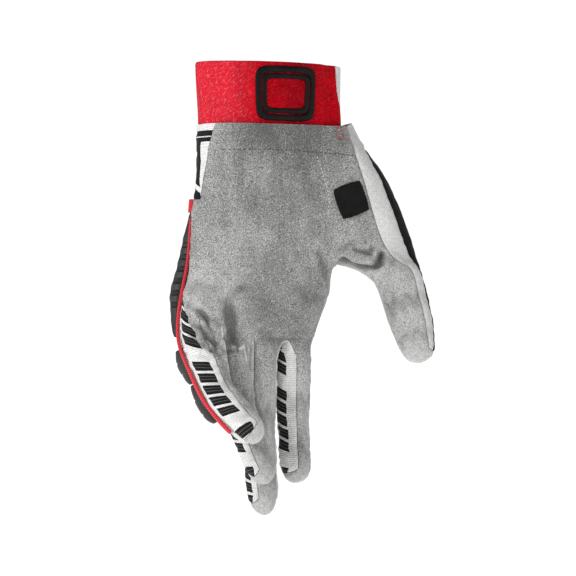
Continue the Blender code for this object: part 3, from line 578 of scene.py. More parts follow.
# fold is the colour of the painted shade in the creases
suedeLook = dict(dark="#595958", middle="#939392", light="#CBCBC9", fold="#3E3D3C", worn="#CACAC8", peep="#DEDEDC")


# microfibre suede: a non-woven cloth buffed with abrasive, so the fibres lie in light and dark
# patches and are speckled by single fibre tufts; painted light and shade patches lie over them,
# painted shade darkens the folds, and the suede turns paler towards the fingertips
def suedeTone(tree, place):
    patch = noiseAt(tree, place, (1, 1, 0.6), 60, 3, 0.55)
    mottle = noiseAt(tree, place, (1, 1, 0.8), 430, 4, 0.6)
    tuft = noiseAt(tree, place, (1, 1, 1), 1900, 2, 0.6)
    tone = calc(tree, "ADD", calc(tree, "MULTIPLY", patch, 0.20), calc(tree, "MULTIPLY", mottle, 0.10))
    tone = calc(tree, "ADD", tone, calc(tree, "MULTIPLY", tuft, 0.70))
    # painted light and shade patches, laid from the table of spots on the palm
    tone = calc(tree, "ADD", tone, calc(tree, "MULTIPLY", field(tree, "paintedLightShade"), 0.16))
    colour = colourRun(tree, tone, [(0.37, suedeLook["dark"]), (0.50, suedeLook["middle"]),
                                    (0.63, suedeLook["light"])])
    return colour, mottle, tuft


def suedeMaterial(name):
    material, tree, shader = newMaterial(name)
    place = addNode(tree, "ShaderNodeTexCoord").outputs["Object"]
    colour, mottle, tuft = suedeTone(tree, place)
    # painted shade: the suede darkens towards the fold colour where the cloth is creased
    folded = calc(tree, "MULTIPLY", field(tree, "foldShade"), 0.48)
    colour = overlay(tree, folded, colour, suedeLook["fold"])
    colour = overlay(tree, field(tree, "peep"), colour, suedeLook["peep"])
    # the suede turns paler towards the fingertips, broken by the mottle
    paleTowardTips = calc(tree, "MULTIPLY", field(tree, "paleTowardTips"), calc(tree, "MULTIPLY", mottle, 0.95))
    colour = overlay(tree, paleTowardTips, colour, suedeLook["worn"])
    tree.links.new(colour, shader.inputs["Base Color"])
    rough = calc(tree, "ADD", calc(tree, "MULTIPLY", mottle, 0.12), 0.84)
    tree.links.new(rough, shader.inputs["Roughness"])
    setShader(shader, Sheen_Weight=0.25, Sheen_Roughness=0.5, IOR=1.46, Specular_IOR_Level=0.18)
    bumpOf(tree, shader, 0.00022, (mottle, 0.8), (tuft, 1.0))
    return material


knitLook = dict(course=0.00105, wale=0.0009, ink="#121413", inkLine="#4A4D4C")


# stretch knit of polyester and elastane: loops in rows across the finger, so it is matt white
# with fine ribs that catch the light; the ink lies flat on it and dulls the ribs
def knitMaterial(name, base, shade, motif=None, ribs=1.0):
    material, tree, shader = newMaterial(name)
    place = addNode(tree, "ShaderNodeTexCoord").outputs["Object"]
    along = field(tree, "along")
    across = field(tree, "across")
    wobble = calc(tree, "MULTIPLY", noiseAt(tree, place, (1, 1, 1), 200, 2, 0.5), 0.0018)
    course = calc(tree, "SINE", calc(tree, "MULTIPLY", calc(tree, "ADD", along, wobble),
                                     2 * pi / knitLook["course"]))
    wale = calc(tree, "SINE", calc(tree, "MULTIPLY", calc(tree, "ADD", across, wobble),
                                   2 * pi / knitLook["wale"]))
    loops = calc(tree, "MULTIPLY", calc(tree, "ADD", calc(tree, "MULTIPLY", course, 0.75),
                                        calc(tree, "MULTIPLY", calc(tree, "MULTIPLY", course, wale), 0.5)), 0.5)
    loops = calc(tree, "ADD", loops, 0.5)
    fuzz = noiseAt(tree, place, (1, 1, 1), 900, 4, 0.7)
    tone = calc(tree, "ADD", calc(tree, "MULTIPLY", loops, 0.45), calc(tree, "MULTIPLY", fuzz, 0.55))
    colour = colourRun(tree, tone, [(0.12, shade), (0.62, base)])
    # painted shade in the creases: grey on the white knits, black on the black knit
    folded = calc(tree, "MULTIPLY", field(tree, "foldShade"), 0.4)
    colour = overlay(tree, folded, colour, "#7D7D7D" if base > "#8" else "#000000")
    if motif:
        mask, line, suede = motif(tree, along, across)
        ink = overlay(tree, line, knitLook["ink"], knitLook["inkLine"])
        colour = overlay(tree, mask, colour, ink)
        if suede:
            plush = suedeTone(tree, place)[0]
            colour = overlay(tree, suede, colour, plush)
    tree.links.new(colour, shader.inputs["Base Color"])
    rough = calc(tree, "ADD", calc(tree, "MULTIPLY", fuzz, 0.15), 0.68)
    tree.links.new(rough, shader.inputs["Roughness"])
    setShader(shader, Sheen_Weight=0.06, Sheen_Roughness=0.4, IOR=1.5, Specular_IOR_Level=0.18)
    bumpOf(tree, shader, 0.00025, (loops, 0.8 * ribs), (fuzz, 0.5))
    return material


# 1 where the value, a length, falls within low to high of each repeat of the pitch
def stripe(tree, value, pitch, low, high):
    phase = calc(tree, "FRACT", calc(tree, "DIVIDE", value, pitch))
    return calc(tree, "MULTIPLY", calc(tree, "GREATER_THAN", phase, low), calc(tree, "LESS_THAN", phase, high))


def between(tree, value, low, high):
    return calc(tree, "MULTIPLY", calc(tree, "GREATER_THAN", value, low), calc(tree, "LESS_THAN", value, high))


printLook = dict(bar=0.0069, group=0.0414, slope=0.50, halfBand=0.0042)


# slanted bars in groups, each bar with a thin grey line along its middle
def barPrint(tree, along, across, start, offset=0.0, halfBand=None):
    run = calc(tree, "SUBTRACT", calc(tree, "ADD", along, calc(tree, "MULTIPLY", across, printLook["slope"])),
               start)
    bars = stripe(tree, run, printLook["bar"], 0.11, 0.89)
    line = calc(tree, "MAXIMUM", stripe(tree, run, printLook["bar"], 0.33, 0.40),
                stripe(tree, run, printLook["bar"], 0.58, 0.65))
    group = stripe(tree, calc(tree, "ADD", run, 0.414), printLook["group"], 0.0, 0.833)
    half = halfBand or printLook["halfBand"]
    band = between(tree, across, offset - half, offset + half)
    return calc(tree, "MULTIPLY", calc(tree, "MULTIPLY", bars, group), band), line


def forkPrint(tree, along, across):
    mask, line = barPrint(tree, along, across, 0.1395, 0.0012, 0.0036)
    return mask, line, None


# side panel: two black hoops and a black edge line at the wrist, suede down to the knuckle,
# then the bars along the little finger
def sidePrint(tree, along, across):
    mask, line = barPrint(tree, along, across, 0.0835, 0.0002, 0.0044)
    low = calc(tree, "MULTIPLY", mask, calc(tree, "GREATER_THAN", along, 0.0895))
    hoops = between(tree, along, 0.0035, 0.0086)
    lean = calc(tree, "ADD", across, calc(tree, "MULTIPLY", calc(tree, "SUBTRACT", along, 0.008), 0.085))
    edge = calc(tree, "MULTIPLY", calc(tree, "GREATER_THAN", lean, -0.0022), between(tree, along, 0.008, 0.05))
    gap = between(tree, calc(tree, "ADD", along, calc(tree, "MULTIPLY", across, 0.6)), 0.0305, 0.0335)
    edge = calc(tree, "MULTIPLY", edge, calc(tree, "SUBTRACT", 1.0, gap))
    high = calc(tree, "MAXIMUM", hoops, edge)
    hoopLine = between(tree, along, 0.0062, 0.0067)
    high = calc(tree, "MULTIPLY", high, calc(tree, "SUBTRACT", 1.0, hoopLine))
    limit = calc(tree, "MULTIPLY", calc(tree, "SUBTRACT", 0.0985, along), 0.38)
    suede = calc(tree, "MULTIPLY", calc(tree, "GREATER_THAN", along, 0.0395),
                 calc(tree, "LESS_THAN", across, limit))
    return calc(tree, "MAXIMUM", low, high), calc(tree, "MULTIPLY", line, calc(tree, "GREATER_THAN", along, 0.06)), suede


# air mesh: warp knit with small open holes in a staggered grid; the holes are painted
# darker grey as the shade inside them
def meshMaterial(name):
    material, tree, shader = newMaterial(name)
    place = addNode(tree, "ShaderNodeTexCoord").outputs["Object"]
    along = field(tree, "along")
    across = field(tree, "across")
    rowWave = calc(tree, "SINE", calc(tree, "MULTIPLY", along, 2 * pi / 0.0017))
    sideWave = calc(tree, "SINE", calc(tree, "MULTIPLY", across, 2 * pi / 0.0017))
    hole = calc(tree, "GREATER_THAN", calc(tree, "MULTIPLY", rowWave, sideWave), 0.62)
    fuzz = noiseAt(tree, place, (1, 1, 1), 800, 4, 0.7)
    colour = colourRun(tree, fuzz, [(0.3, "#BEBFBD"), (0.7, "#E0E1DF")])
    # painted shade inside the holes
    colour = overlay(tree, calc(tree, "MULTIPLY", hole, 0.55), colour, "#8F9391")
    # painted shade in the creases
    folded = calc(tree, "MULTIPLY", field(tree, "foldShade"), 0.4)
    colour = overlay(tree, folded, colour, "#8A8E8C")
    tree.links.new(colour, shader.inputs["Base Color"])
    rough = calc(tree, "ADD", calc(tree, "MULTIPLY", fuzz, 0.15), 0.66)
    tree.links.new(rough, shader.inputs["Roughness"])
    setShader(shader, Sheen_Weight=0.1, IOR=1.5, Specular_IOR_Level=0.3)
    bumpOf(tree, shader, 0.0003, (calc(tree, "SUBTRACT", 1.0, hole), 0.7), (fuzz, 0.4))
    return material


# ---- panels ----
backEdge = spread((lowLabel != highLabel) & (lowLabel > 0) & (highLabel > 2), 24)
palmEdge = spread((lowLabel != highLabel) & (lowLabel == 0), 24)
isStrip = (highLabel > 2)
across = np.where(isStrip, (palmEdge - backEdge) / 2, sideward)
# paler towards the fingertips, from 62 % of each finger's length to its tip
paleTowardTips = smoothStep(0.62, 1.0, share) * (limbOf >= 0)
# crease depth turned to the strength of the painted shade laid in the creases
foldShade = np.clip(crease / 0.0008, 0, 1.4)

# where the suede is painted darker as shade (tone below 0) or paler as light (above 0): x and z, reach in millimetres,
# tone
paintedLightShadeSpots = [
    dict(x=-17, z=-36, reach=13, tone=-0.75),
    dict(x=9, z=-37, reach=17, tone=-0.75),
    dict(x=30, z=-38, reach=12, tone=-0.20),
    dict(x=6, z=-72, reach=24, tone=-0.25),
    dict(x=34, z=-62, reach=14, tone=-0.15),
    dict(x=-46, z=-120, reach=16, tone=0.50),
    dict(x=14, z=-128, reach=17, tone=-0.35),
    dict(x=-12, z=-124, reach=14, tone=-0.22),
    dict(x=16, z=-178, reach=22, tone=0.15),
    dict(x=-6, z=-184, reach=22, tone=0.50),
    dict(x=-10, z=-226, reach=14, tone=-0.25),
    dict(x=58, z=-115, reach=22, tone=0.38),
    dict(x=66, z=-145, reach=18, tone=0.30)]
paintedLightShade = np.zeros(count)
for patch in paintedLightShadeSpots:
    far = np.hypot(spots[:, 0] * 1000 - patch["x"], spots[:, 2] * 1000 - patch["z"])
    paintedLightShade += patch["tone"] * np.exp(-(far / patch["reach"]) ** 2)
# pale ends of the finger strips that peep through the folds at the finger roots
peeps = [dict(line=[(-36.4, -139), (-35.2, -144), (-35.6, -148)]), dict(line=[(-23.5, -150), (-20.6, -148.5), (-20.2, -156)])]
peep = np.zeros(count)
for line in peeps:
    peep = np.maximum(peep, np.exp(-(lineFar(spots, line["line"]) / 0.0006) ** 2) * (facing > 0.5))
panels = dict(
    palm=("palm_panel", "suede", suedeMaterial("microfibreSuede")),
    back=("back_panel", "back_knit", knitMaterial("whiteStretchKnit", "#E6E6E4", "#A9A9A7")),
    thumbBack=("thumb_back_panel", "black_knit", knitMaterial("blackStretchKnit", "#101111", "#030303")),
    thumbStrip=("thumb_side_strip", "pale_mesh", meshMaterial("paleAirMesh")),
    webGusset=("web_gusset", "suede_gusset", suedeMaterial("gussetSuede")),
    ulnarSide=("ulnar_side_panel", "side_knit",
               knitMaterial("printedSideKnit", "#F0F0EE", "#B4B4B2", sidePrint)),
    forkLittle=("fourchette_little_ring", "fourchette_a",
                knitMaterial("ribbedKnitA", "#EFEFED", "#A8A8A6", forkPrint, 1.6)),
    forkRing=("fourchette_ring_middle", "fourchette_b",
              knitMaterial("ribbedKnitB", "#EFEFED", "#A8A8A6", forkPrint, 1.6)),
    forkMiddle=("fourchette_middle_index", "fourchette_c",
                knitMaterial("ribbedKnitC", "#EFEFED", "#A8A8A6", forkPrint, 1.6)))


# marks the open rim of a sheet sharp, so its wall does not shade the face
def sharpenRim(mesh):
    edges = np.empty(len(mesh.loops), int)
    mesh.loops.foreach_get("edge_index", edges)
    rim = np.bincount(edges, minlength=len(mesh.edges)) == 1
    mesh.attributes.new("sharp_edge", "BOOLEAN", "EDGE").data.foreach_set("value", rim)


# a panel is its share of the skin, its rim drawn 0.15 mm in from the seam, with a wall inside
for key, (node, slot, material) in panels.items():
    mine = quads[labels == panelOf[key]]
    used, local = np.unique(mine, return_inverse=True)
    local = local.reshape(-1, 4)
    points = spots[used].copy()
    atSeam = (lowLabel != highLabel)[used]
    pull = np.zeros_like(points)
    for k in range(4):
        a, b = local[:, k], local[:, (k + 1) % 4]
        for p, q in ((a, b), (b, a)):
            inner = atSeam[p] & ~atSeam[q]
            np.add.at(pull, p[inner], points[q[inner]] - points[p[inner]])
    size = np.linalg.norm(pull, axis=1)
    pull[size > 0] /= size[size > 0][:, None]
    points += pull * np.where(flush[used], 0, 0.00015)[:, None]
    fields = dict(along=along[used], across=across[used], foldShade=foldShade[used], paleTowardTips=paleTowardTips[used],
                  paintedLightShade=paintedLightShade[used], peep=peep[used])
    piece = addPiece(key, points, local, material, node, fields)
    sharpenRim(piece.data)
    wall = piece.modifiers.new("wall", "SOLIDIFY")
    wall.thickness = hand["clothWall"]
    wall.offset = -1
print("panels cut")

# ---- cuff ----
hemIds = np.flatnonzero(along < 1e-6)
hemIds = hemIds[np.argsort(np.arctan2(smoothSpots[hemIds, 1], smoothSpots[hemIds, 0]))]
hem = smoothSpots[hemIds] - normals[hemIds] * (hand["clothWall"] + 0.0003)
hem[:, 0] -= hand["cuffTuck"] * np.clip(hem[:, 0] / hem[:, 0].max(), 0, 1) ** 3
hemTurn = np.arctan2(hem[:, 1] / hand["cuffDepth"], (hem[:, 0] - hem[:, 0].mean()) / hand["cuffWidth"])
cuffTop = np.stack([np.cos(hemTurn) * hand["cuffWidth"] / 2, np.sin(hemTurn) * hand["cuffDepth"] / 2,
                    0 * hemTurn], axis=1)


# ring of the cuff at a height, 0 at the hem and 1 at the rim: hem and rim mixed smoothly
def cuffRing(height):
    height = np.asarray(height, float)[..., None, None]
    part = np.clip(height, 0, 1)
    ease = part * part * (3 - 2 * part)
    ring = hem * (1 - ease) + cuffTop * ease
    low = np.minimum(height, 0)
    ring[..., 2:] = hem[:, 2:] * (1 - height) + cuffTop[:, 2:] * height
    ring[..., :2] *= 1 + low * 0.25
    return ring


# table of the cuff by height and angle, read between its entries
cuffLevels = np.linspace(0, 1, 33)
cuffAngles = np.arange(-360, 361, 2.0)
cuffTable = []
for ring in cuffRing(cuffLevels):
    angle = np.degrees(np.arctan2(ring[:, 1] / hand["cuffDepth"], ring[:, 0] / hand["cuffWidth"]))
    order = np.argsort(angle)
    axis = np.concatenate([angle[order] - 360, angle[order], angle[order] + 360])
    cuffTable.append(np.stack([np.interp(cuffAngles, axis, np.tile(ring[order, c], 3)) for c in range(3)], 1))
cuffTable = np.array(cuffTable)


# point of the cuff at an angle and a height, lifted outwards: two-way linear mix of the table
def cuffPoint(turn, height, rise):
    def read(turn):
        a = np.clip((turn + 360) / 2, 0, len(cuffAngles) - 1.001)
        h = np.clip(height, 0, 0.9999) * (len(cuffLevels) - 1)
        i, j = h.astype(int), a.astype(int)
        s, t = (h - i)[..., None], (a - j)[..., None]
        return ((cuffTable[i, j] * (1 - t) + cuffTable[i, j + 1] * t) * (1 - s)
                + (cuffTable[i + 1, j] * (1 - t) + cuffTable[i + 1, j + 1] * t) * s)
    spot = read(turn)
    run = read(turn + 2) - read(turn - 2)
    out = np.stack([run[..., 1], -run[..., 0], 0 * run[..., 0]], axis=-1)
    return spot + out / np.linalg.norm(out, axis=-1)[..., None] * np.asarray(rise)[..., None]


cuffLook = dict(rows=64, tuck=-0.10, waveDepth=0.00065)


# jacquard elastic: polyester over rubber threads, woven with short slanted floats, so the red
# is broken by rows of fine darker gaps and pale flecks of bare thread; painted light brightens
# the little-finger side, where the flecks are painted stronger, and painted shade darkens the middle
def cuffMaterial():
    material, tree, shader = newMaterial("redJacquardElastic")
    place = addNode(tree, "ShaderNodeCombineXYZ", {"X": field(tree, "around"), "Y": field(tree, "up")}).outputs[0]
    floats = noiseAt(tree, place, (0.35, 1.6, 1), 1150, 2, 0.6)
    slide = addNode(tree, "ShaderNodeMapping", {"Vector": place, "Rotation": (0, 0, 0.6)}).outputs[0]
    fleck = noiseAt(tree, slide, (1.7, 0.35, 1), 1050, 3, 0.8)
    broad = noiseAt(tree, place, (1, 1, 1), 75, 2, 0.5)
    slant = calc(tree, "ADD", calc(tree, "MULTIPLY", field(tree, "up"), 1.0),
                 calc(tree, "MULTIPLY", field(tree, "around"), 0.22))
    rowWave = calc(tree, "ADD", calc(tree, "MULTIPLY", calc(tree, "SINE", calc(
        tree, "MULTIPLY", slant, 2 * pi / 0.0011)), 0.5), 0.5)
    tone = calc(tree, "ADD", calc(tree, "MULTIPLY", floats, 0.55), calc(tree, "MULTIPLY", broad, 0.3))
    tone = calc(tree, "ADD", tone, calc(tree, "MULTIPLY", rowWave, 0.15))
    colour = colourRun(tree, tone, [(0.30, "#6A0008"), (0.47, "#B00012"), (0.66, "#DE0A20")])
    pale = addNode(tree, "ShaderNodeMapRange", {"Value": fleck, "From Min": 0.54, "From Max": 0.74}).outputs[0]
    # painted light: the little-finger side of the cuff, towards the key lamp, is painted brighter red
    lit = field(tree, "paintedLitSide")
    # painted shade: a darker band across the middle of the cuff's width
    paintedShadeMiddle = calc(tree, "MULTIPLY", field(tree, "paintedShadeMiddle"), 0.5)
    colour = overlay(tree, paintedShadeMiddle, colour, "#5C0007")
    colour = overlay(tree, calc(tree, "MULTIPLY", lit, 0.35), colour, "#F0384C")
    # the pale thread flecks are real, and painted stronger on the lit side
    pale = calc(tree, "MULTIPLY", pale, calc(tree, "ADD", calc(tree, "MULTIPLY", lit, 0.55), 0.10))
    colour = overlay(tree, pale, colour, "#F6B0B4")
    tree.links.new(colour, shader.inputs["Base Color"])
    rough = calc(tree, "ADD", calc(tree, "MULTIPLY", floats, 0.2), 0.55)
    tree.links.new(rough, shader.inputs["Roughness"])
    setShader(shader, IOR=1.5, Specular_IOR_Level=0.03)
    bumpOf(tree, shader, 0.0003, (floats, 0.9), (rowWave, 0.45))
    return material


# wall profile: up the outside, a half circle over the rim, down the inside, carried round the hem
steps = cuffLook["rows"]
up = np.concatenate([np.linspace(cuffLook["tuck"], 1, steps), np.full(7, 1.0),
                     np.linspace(1, cuffLook["tuck"], steps)])
arc = np.linspace(0, pi, 9)[1:-1]
half = hand["cuffWall"] / 2
deepness = np.concatenate([np.zeros(steps), half - half * np.cos(arc), np.full(steps, 2 * half)])
lift = np.concatenate([np.zeros(steps), half * np.sin(arc), np.zeros(steps)])
body = cuffRing(up)
run = np.roll(body, -1, axis=1) - np.roll(body, 1, axis=1)
outward = np.stack([run[..., 1], -run[..., 0], 0 * run[..., 0]], axis=-1)
outward /= np.linalg.norm(outward, axis=-1)[..., None]
aroundLength = np.cumsum(np.linalg.norm(np.diff(cuffTop, axis=0, append=cuffTop[:1]), axis=1))
waves = (uneven(body.reshape(-1, 3) * np.array([1, 1, 0.35]), 0.016, 11).reshape(body.shape[:2])
         * cuffLook["waveDepth"])
waves *= 0.25 + 0.75 * smoothStep(0.019, 0.026, np.hypot(body[..., 0], 0 * waves) + (body[..., 1] > 0) * 0.1)
rimLine = 0.0003 * np.exp(-((up - 0.94) / 0.012) ** 2)[:, None]  # sunk by the stitched rim fold
body = body + outward * (waves - rimLine - deepness[:, None])[..., None]
body[..., 2] += lift[:, None] - 0.001 * smoothStep(0.8, 1.0, up)[:, None]
rows, columns = body.shape[:2]
index = np.arange(rows * columns).reshape(rows, columns)
faces = closedGrid(np.vstack([index, index[:1]]))
# the last two fields are painted light on the little-finger side and painted shade across the middle
fields = dict(around=np.tile(aroundLength, rows), up=body[..., 2].ravel(),
              paintedLitSide=1 - smoothStep(-0.034, -0.012, body[..., 0]).ravel(),
              paintedShadeMiddle=np.exp(-((body[..., 0] - 0.006) / 0.016) ** 2).ravel())
cuff = addPiece("cuff", body.reshape(-1, 3), faces, cuffMaterial(), "cuff_band", fields)
print("cuff turned")


# ---- rubber, silicone and tape ----
# thermoplastic rubber moulded in a sand-blasted tool: dark grey, satin, a fine even grain,
# with painted light on the crests and painted shade in the hollows
def rubberMaterial(name, dark="#191B1A", light="#3C3F3E"):
    material, tree, shader = newMaterial(name)
    place = addNode(tree, "ShaderNodeTexCoord").outputs["Object"]
    grain = noiseAt(tree, place, (1, 1, 1), 2600, 2, 0.5)
    cloud = noiseAt(tree, place, (1, 1, 1), 150, 4, 0.6)
    # painted light and shade: paler where the rubber stands higher, near black in the hollows
    paintedCrestLight = field(tree, "paintedCrestLight")
    tone = calc(tree, "ADD", calc(tree, "MULTIPLY", paintedCrestLight, 0.75), calc(tree, "MULTIPLY", cloud, 0.3))
    colour = colourRun(tree, tone, [(0.17, "#020202"), (0.45, dark), (0.98, light)])
    tree.links.new(colour, shader.inputs["Base Color"])
    rough = calc(tree, "ADD", calc(tree, "MULTIPLY", cloud, 0.2), 0.42)
    tree.links.new(rough, shader.inputs["Roughness"])
    setShader(shader, IOR=1.5, Specular_IOR_Level=0.45)
    bumpOf(tree, shader, 0.00008, (grain, 1.0), (cloud, 0.5))
    return material


# screen-printed silicone: black, thick, smooth with slight waves where it sank into the weave
def siliconeMaterial(name, weave=0.5):
    material, tree, shader = newMaterial(name)
    place = addNode(tree, "ShaderNodeTexCoord").outputs["Object"]
    wave = noiseAt(tree, place, (0.6, 0.6, 1.6), 700, 3, 0.6)
    cloud = noiseAt(tree, place, (1, 1, 1), 120, 3, 0.6)
    colour = colourRun(tree, cloud, [(0.3, "#0A0B0A"), (0.7, "#141615")])
    tree.links.new(colour, shader.inputs["Base Color"])
    rough = calc(tree, "ADD", calc(tree, "MULTIPLY", wave, 0.25), 0.34)
    tree.links.new(rough, shader.inputs["Roughness"])
    setShader(shader, IOR=1.41, Specular_IOR_Level=0.14)
    bumpOf(tree, shader, 0.0002, (wave, weave))
    return material


# woven polyester tape: diagonal ribs of bright thread, a little shiny
def tapeMaterial(name, dark, light, pitch=0.0011):
    material, tree, shader = newMaterial(name)
    place = addNode(tree, "ShaderNodeTexCoord").outputs["Object"]
    run = field(tree, "run")
    turn = field(tree, "turn")
    slant = calc(tree, "ADD", calc(tree, "MULTIPLY", run, 2 * pi / pitch), calc(tree, "MULTIPLY", turn, 2.0))
    rib = calc(tree, "ADD", calc(tree, "MULTIPLY", calc(tree, "SINE", slant), 0.5), 0.5)
    fibre = noiseAt(tree, place, (1, 1, 1), 1500, 3, 0.7)
    tone = calc(tree, "ADD", calc(tree, "MULTIPLY", rib, 0.55), calc(tree, "MULTIPLY", fibre, 0.45))
    colour = colourRun(tree, tone, [(0.2, dark), (0.75, light)])
    tree.links.new(colour, shader.inputs["Base Color"])
    rough = calc(tree, "ADD", calc(tree, "MULTIPLY", fibre, 0.2), 0.45)
    tree.links.new(rough, shader.inputs["Roughness"])
    setShader(shader, Sheen_Weight=0.15, IOR=1.5, Specular_IOR_Level=0.4)
    bumpOf(tree, shader, 0.0002, (rib, 1.0), (fibre, 0.4))
    return material


# twisted polyester sewing thread: ply lines across each stitch, slightly glossy
def threadMaterial(name, dark, light):
    material, tree, shader = newMaterial(name)
    place = addNode(tree, "ShaderNodeTexCoord").outputs["Object"]
    ply = noiseAt(tree, place, (1.5, 1.5, 0.7), 2400, 2, 0.6)
    tree.links.new(colourRun(tree, ply, [(0.3, dark), (0.7, light)]), shader.inputs["Base Color"])
    rough = calc(tree, "ADD", calc(tree, "MULTIPLY", ply, 0.25), 0.4)
    tree.links.new(rough, shader.inputs["Roughness"])
    setShader(shader, Sheen_Weight=0.1, IOR=1.5)
    bumpOf(tree, shader, 0.0001, (ply, 1.0))
    return material


# white tape over the cuff's side seam, a strip of the cuff surface lifted by its thickness
binding = dict(turn=-31, width=0.0112, low=0.06, high=0.985, thickness=0.0008)
perMetre = 360 / (pi * hand["cuffWidth"])
u, v = np.meshgrid(np.linspace(-0.5, 0.5, 17), np.linspace(0, 1, 90))
crown = 0.0003 * (1 - (2 * u) ** 4) + 0.0008
turn = binding["turn"] + (u + 0.03 * np.sin(v * 9)) * binding["width"] * perMetre
strip = cuffPoint(turn, binding["low"] + (binding["high"] - binding["low"]) * v, crown)
fields = dict(run=(v * hand["cuffHeight"]).ravel(), turn=(u * 8).ravel())
tape = addPiece("cuffSideBinding", strip.reshape(-1, 3), openGrid(90, 17),
                tapeMaterial("whiteWovenTape", "#B9B7B4", "#F1F0EE", 0.0009), "cuff_side_binding",
                fields)
wall = tape.modifiers.new("wall", "SOLIDIFY")
wall.thickness = binding["thickness"]
wall.offset = -1

# raised double line of silicone on the front of the cuff: two rounded frames, each a low
# crowned bead carried round a superellipse of power 5
grip = dict(turn=-91, middle=0.49, width=0.0375, height=0.0285, lines=(0.0034, 0.0027), gap=0.0005, rise=0.0006)
run = np.linspace(0, 2 * pi, 320, endpoint=False)
bead = np.linspace(-1, 1, 9)
profileAcross = np.concatenate([bead, bead[::-1][1:-1]])
profileRise = np.concatenate([grip["rise"] * (1 - np.abs(bead) ** 4) + 0.0004, np.full(7, 0.0001)])
points, faces = [], []
for frameIndex in range(2):
    line = grip["lines"][frameIndex]
    inset = frameIndex * (grip["lines"][0] + grip["gap"]) + line / 2
    reach = profileAcross[:, None] * line / 2 - inset
    power = 6 if frameIndex == 0 else 7.5
    far = (np.abs(np.cos(run)) ** power + np.abs(np.sin(run)) ** power) ** (-1 / power)
    x = np.cos(run) * far * (grip["width"] / 2 + reach)
    z = np.sin(run) * far * (grip["height"] / 2 + reach)
    beads = cuffPoint(grip["turn"] + x * perMetre, grip["middle"] + z / hand["cuffHeight"],
                      np.repeat(profileRise[:, None], len(run), axis=1))
    index = np.arange(beads.shape[0] * len(run)).reshape(beads.shape[0], len(run))
    faces.append(closedGrid(np.vstack([index, index[:1]]))[:, ::-1] + frameIndex * index.size)
    points.append(beads.reshape(-1, 3))
addPiece("cuffGripPrint", np.vstack(points), np.vstack(faces), siliconeMaterial("blackSilicone"),
         "cuff_grip_print")
print("cuff trimmed")


# weights that draw a smooth curve through n knots at m places: four-point cubic blend
def curveWeights(n, m):
    t = np.linspace(0, n - 1, m)
    i = np.minimum(t.astype(int), n - 2)
    f = t - i
    blend = np.stack([-0.5 * f + f ** 2 - 0.5 * f ** 3, 1 - 2.5 * f ** 2 + 1.5 * f ** 3,
                      0.5 * f + 2 * f ** 2 - 1.5 * f ** 3, -0.5 * f ** 2 + 0.5 * f ** 3], axis=1)
    weights = np.zeros((m, n))
    for k in range(4):
        np.add.at(weights, (np.arange(m), np.clip(i + k - 1, 0, n - 1)), blend[:, k])
    return weights


# a knot grid drawn finer both ways
def refine(grid, rows, columns):
    return np.einsum("ar,bc,rck->abk", curveWeights(grid.shape[0], rows), curveWeights(grid.shape[1], columns),
                     grid)


# faces of a body between a lower and an upper grid, walls along the rim
def slabFaces(rows, columns):
    low = np.arange(rows * columns).reshape(rows, columns)
    high = low + rows * columns
    rim = np.concatenate([low[0, :-1], low[:-1, -1], low[-1, :0:-1], low[:0:-1, 0]])
    after = np.roll(rim, -1)
    walls = np.stack([rim, after, after + rows * columns, rim + rows * columns], axis=1)
    top = openGrid(rows, columns) + rows * columns
    return np.vstack([top, openGrid(rows, columns)[:, ::-1], walls])


def landFrom(origins, ways):
    hits = [skin.ray_cast(Vector(o), Vector(w))[0] for o, w in zip(origins.reshape(-1, 3), ways.reshape(-1, 3))]
    return np.array([list(h) for h in hits]).reshape(origins.shape)


# line inside the little-finger edge, from which the outside of the hand is sought
def sideAxis(down):
    rows = np.arange(8)
    half = (hand["thumb"] - hand["ulnar"]) * hand["palmWidth"] / 2
    inside = sectionPoints(rows, (-1 + 0.5 * hand["palmThickness"] / half)[:, None], np.zeros((8, 1)))[:, 0]
    return np.stack([np.interp(down, hand["down"], inside[:, c]) for c in range(3)], axis=-1)


sideSeam = np.flatnonzero((lowLabel == panelOf["back"]) & (highLabel == panelOf["ulnarSide"]))
sideSeam = sideSeam[np.argsort(-smoothSpots[sideSeam, 2])]
seamLine = smoothSpots[sideSeam]
seamOut = normals[sideSeam]
seamDown = (-hand["cuffHeight"] - seamLine[:, 2]) / hand["palmLength"]

# knuckle guard: rises from the seam round the edge of the hand; height is a flat dome across
# times a swell along, cut by six windows and grooved along both sides
guard = dict(top=0.405, end=0.985, width=0.019, rise=0.0080, margin=0.0027, knotRows=30, knotColumns=9,
             rows=230, columns=84, windows=np.array([5.5, 7.5, 9.5, 11.5, 13.5, 15.5]) / 21)
downs = np.linspace(guard["top"], guard["end"], guard["knotRows"])
axis = sideAxis(downs)
seamX = np.interp(downs, seamDown, seamLine[:, 0])
seamY = np.interp(downs, seamDown, seamLine[:, 1])
startTurn = np.arctan2(seamY - axis[:, 1], axis[:, 0] - seamX) + guard["margin"] / (hand["palmThickness"] / 2)
alongKnots = np.linspace(0, 1, guard["knotRows"])
swellKnots = np.sin(pi * (0.06 + 0.88 * alongKnots)) ** 0.30
span = guard["width"] * swellKnots / (hand["palmThickness"] / 2)
turn = startTurn[:, None] + span[:, None] * np.linspace(0, 1, guard["knotColumns"])
out = np.stack([-np.cos(turn), np.sin(turn), 0 * turn], axis=-1)
knots = landFrom(np.repeat(axis[:, None], guard["knotColumns"], axis=1), out)
base = refine(knots, guard["rows"], guard["columns"])
out = refine(out, guard["rows"], guard["columns"])
out /= np.linalg.norm(out, axis=-1)[..., None]
a = np.linspace(0, 1, guard["rows"])[:, None]
c = np.linspace(0, 1, guard["columns"])[None, :]
swell = np.sin(pi * (0.06 + 0.88 * a)) ** 0.30
dome = (1 - np.abs(2 * c - 1) ** 6) * np.sin(pi * (0.05 + 0.90 * a)) ** 0.8
gap = np.abs(a[..., None] - guard["windows"]).min(axis=-1)
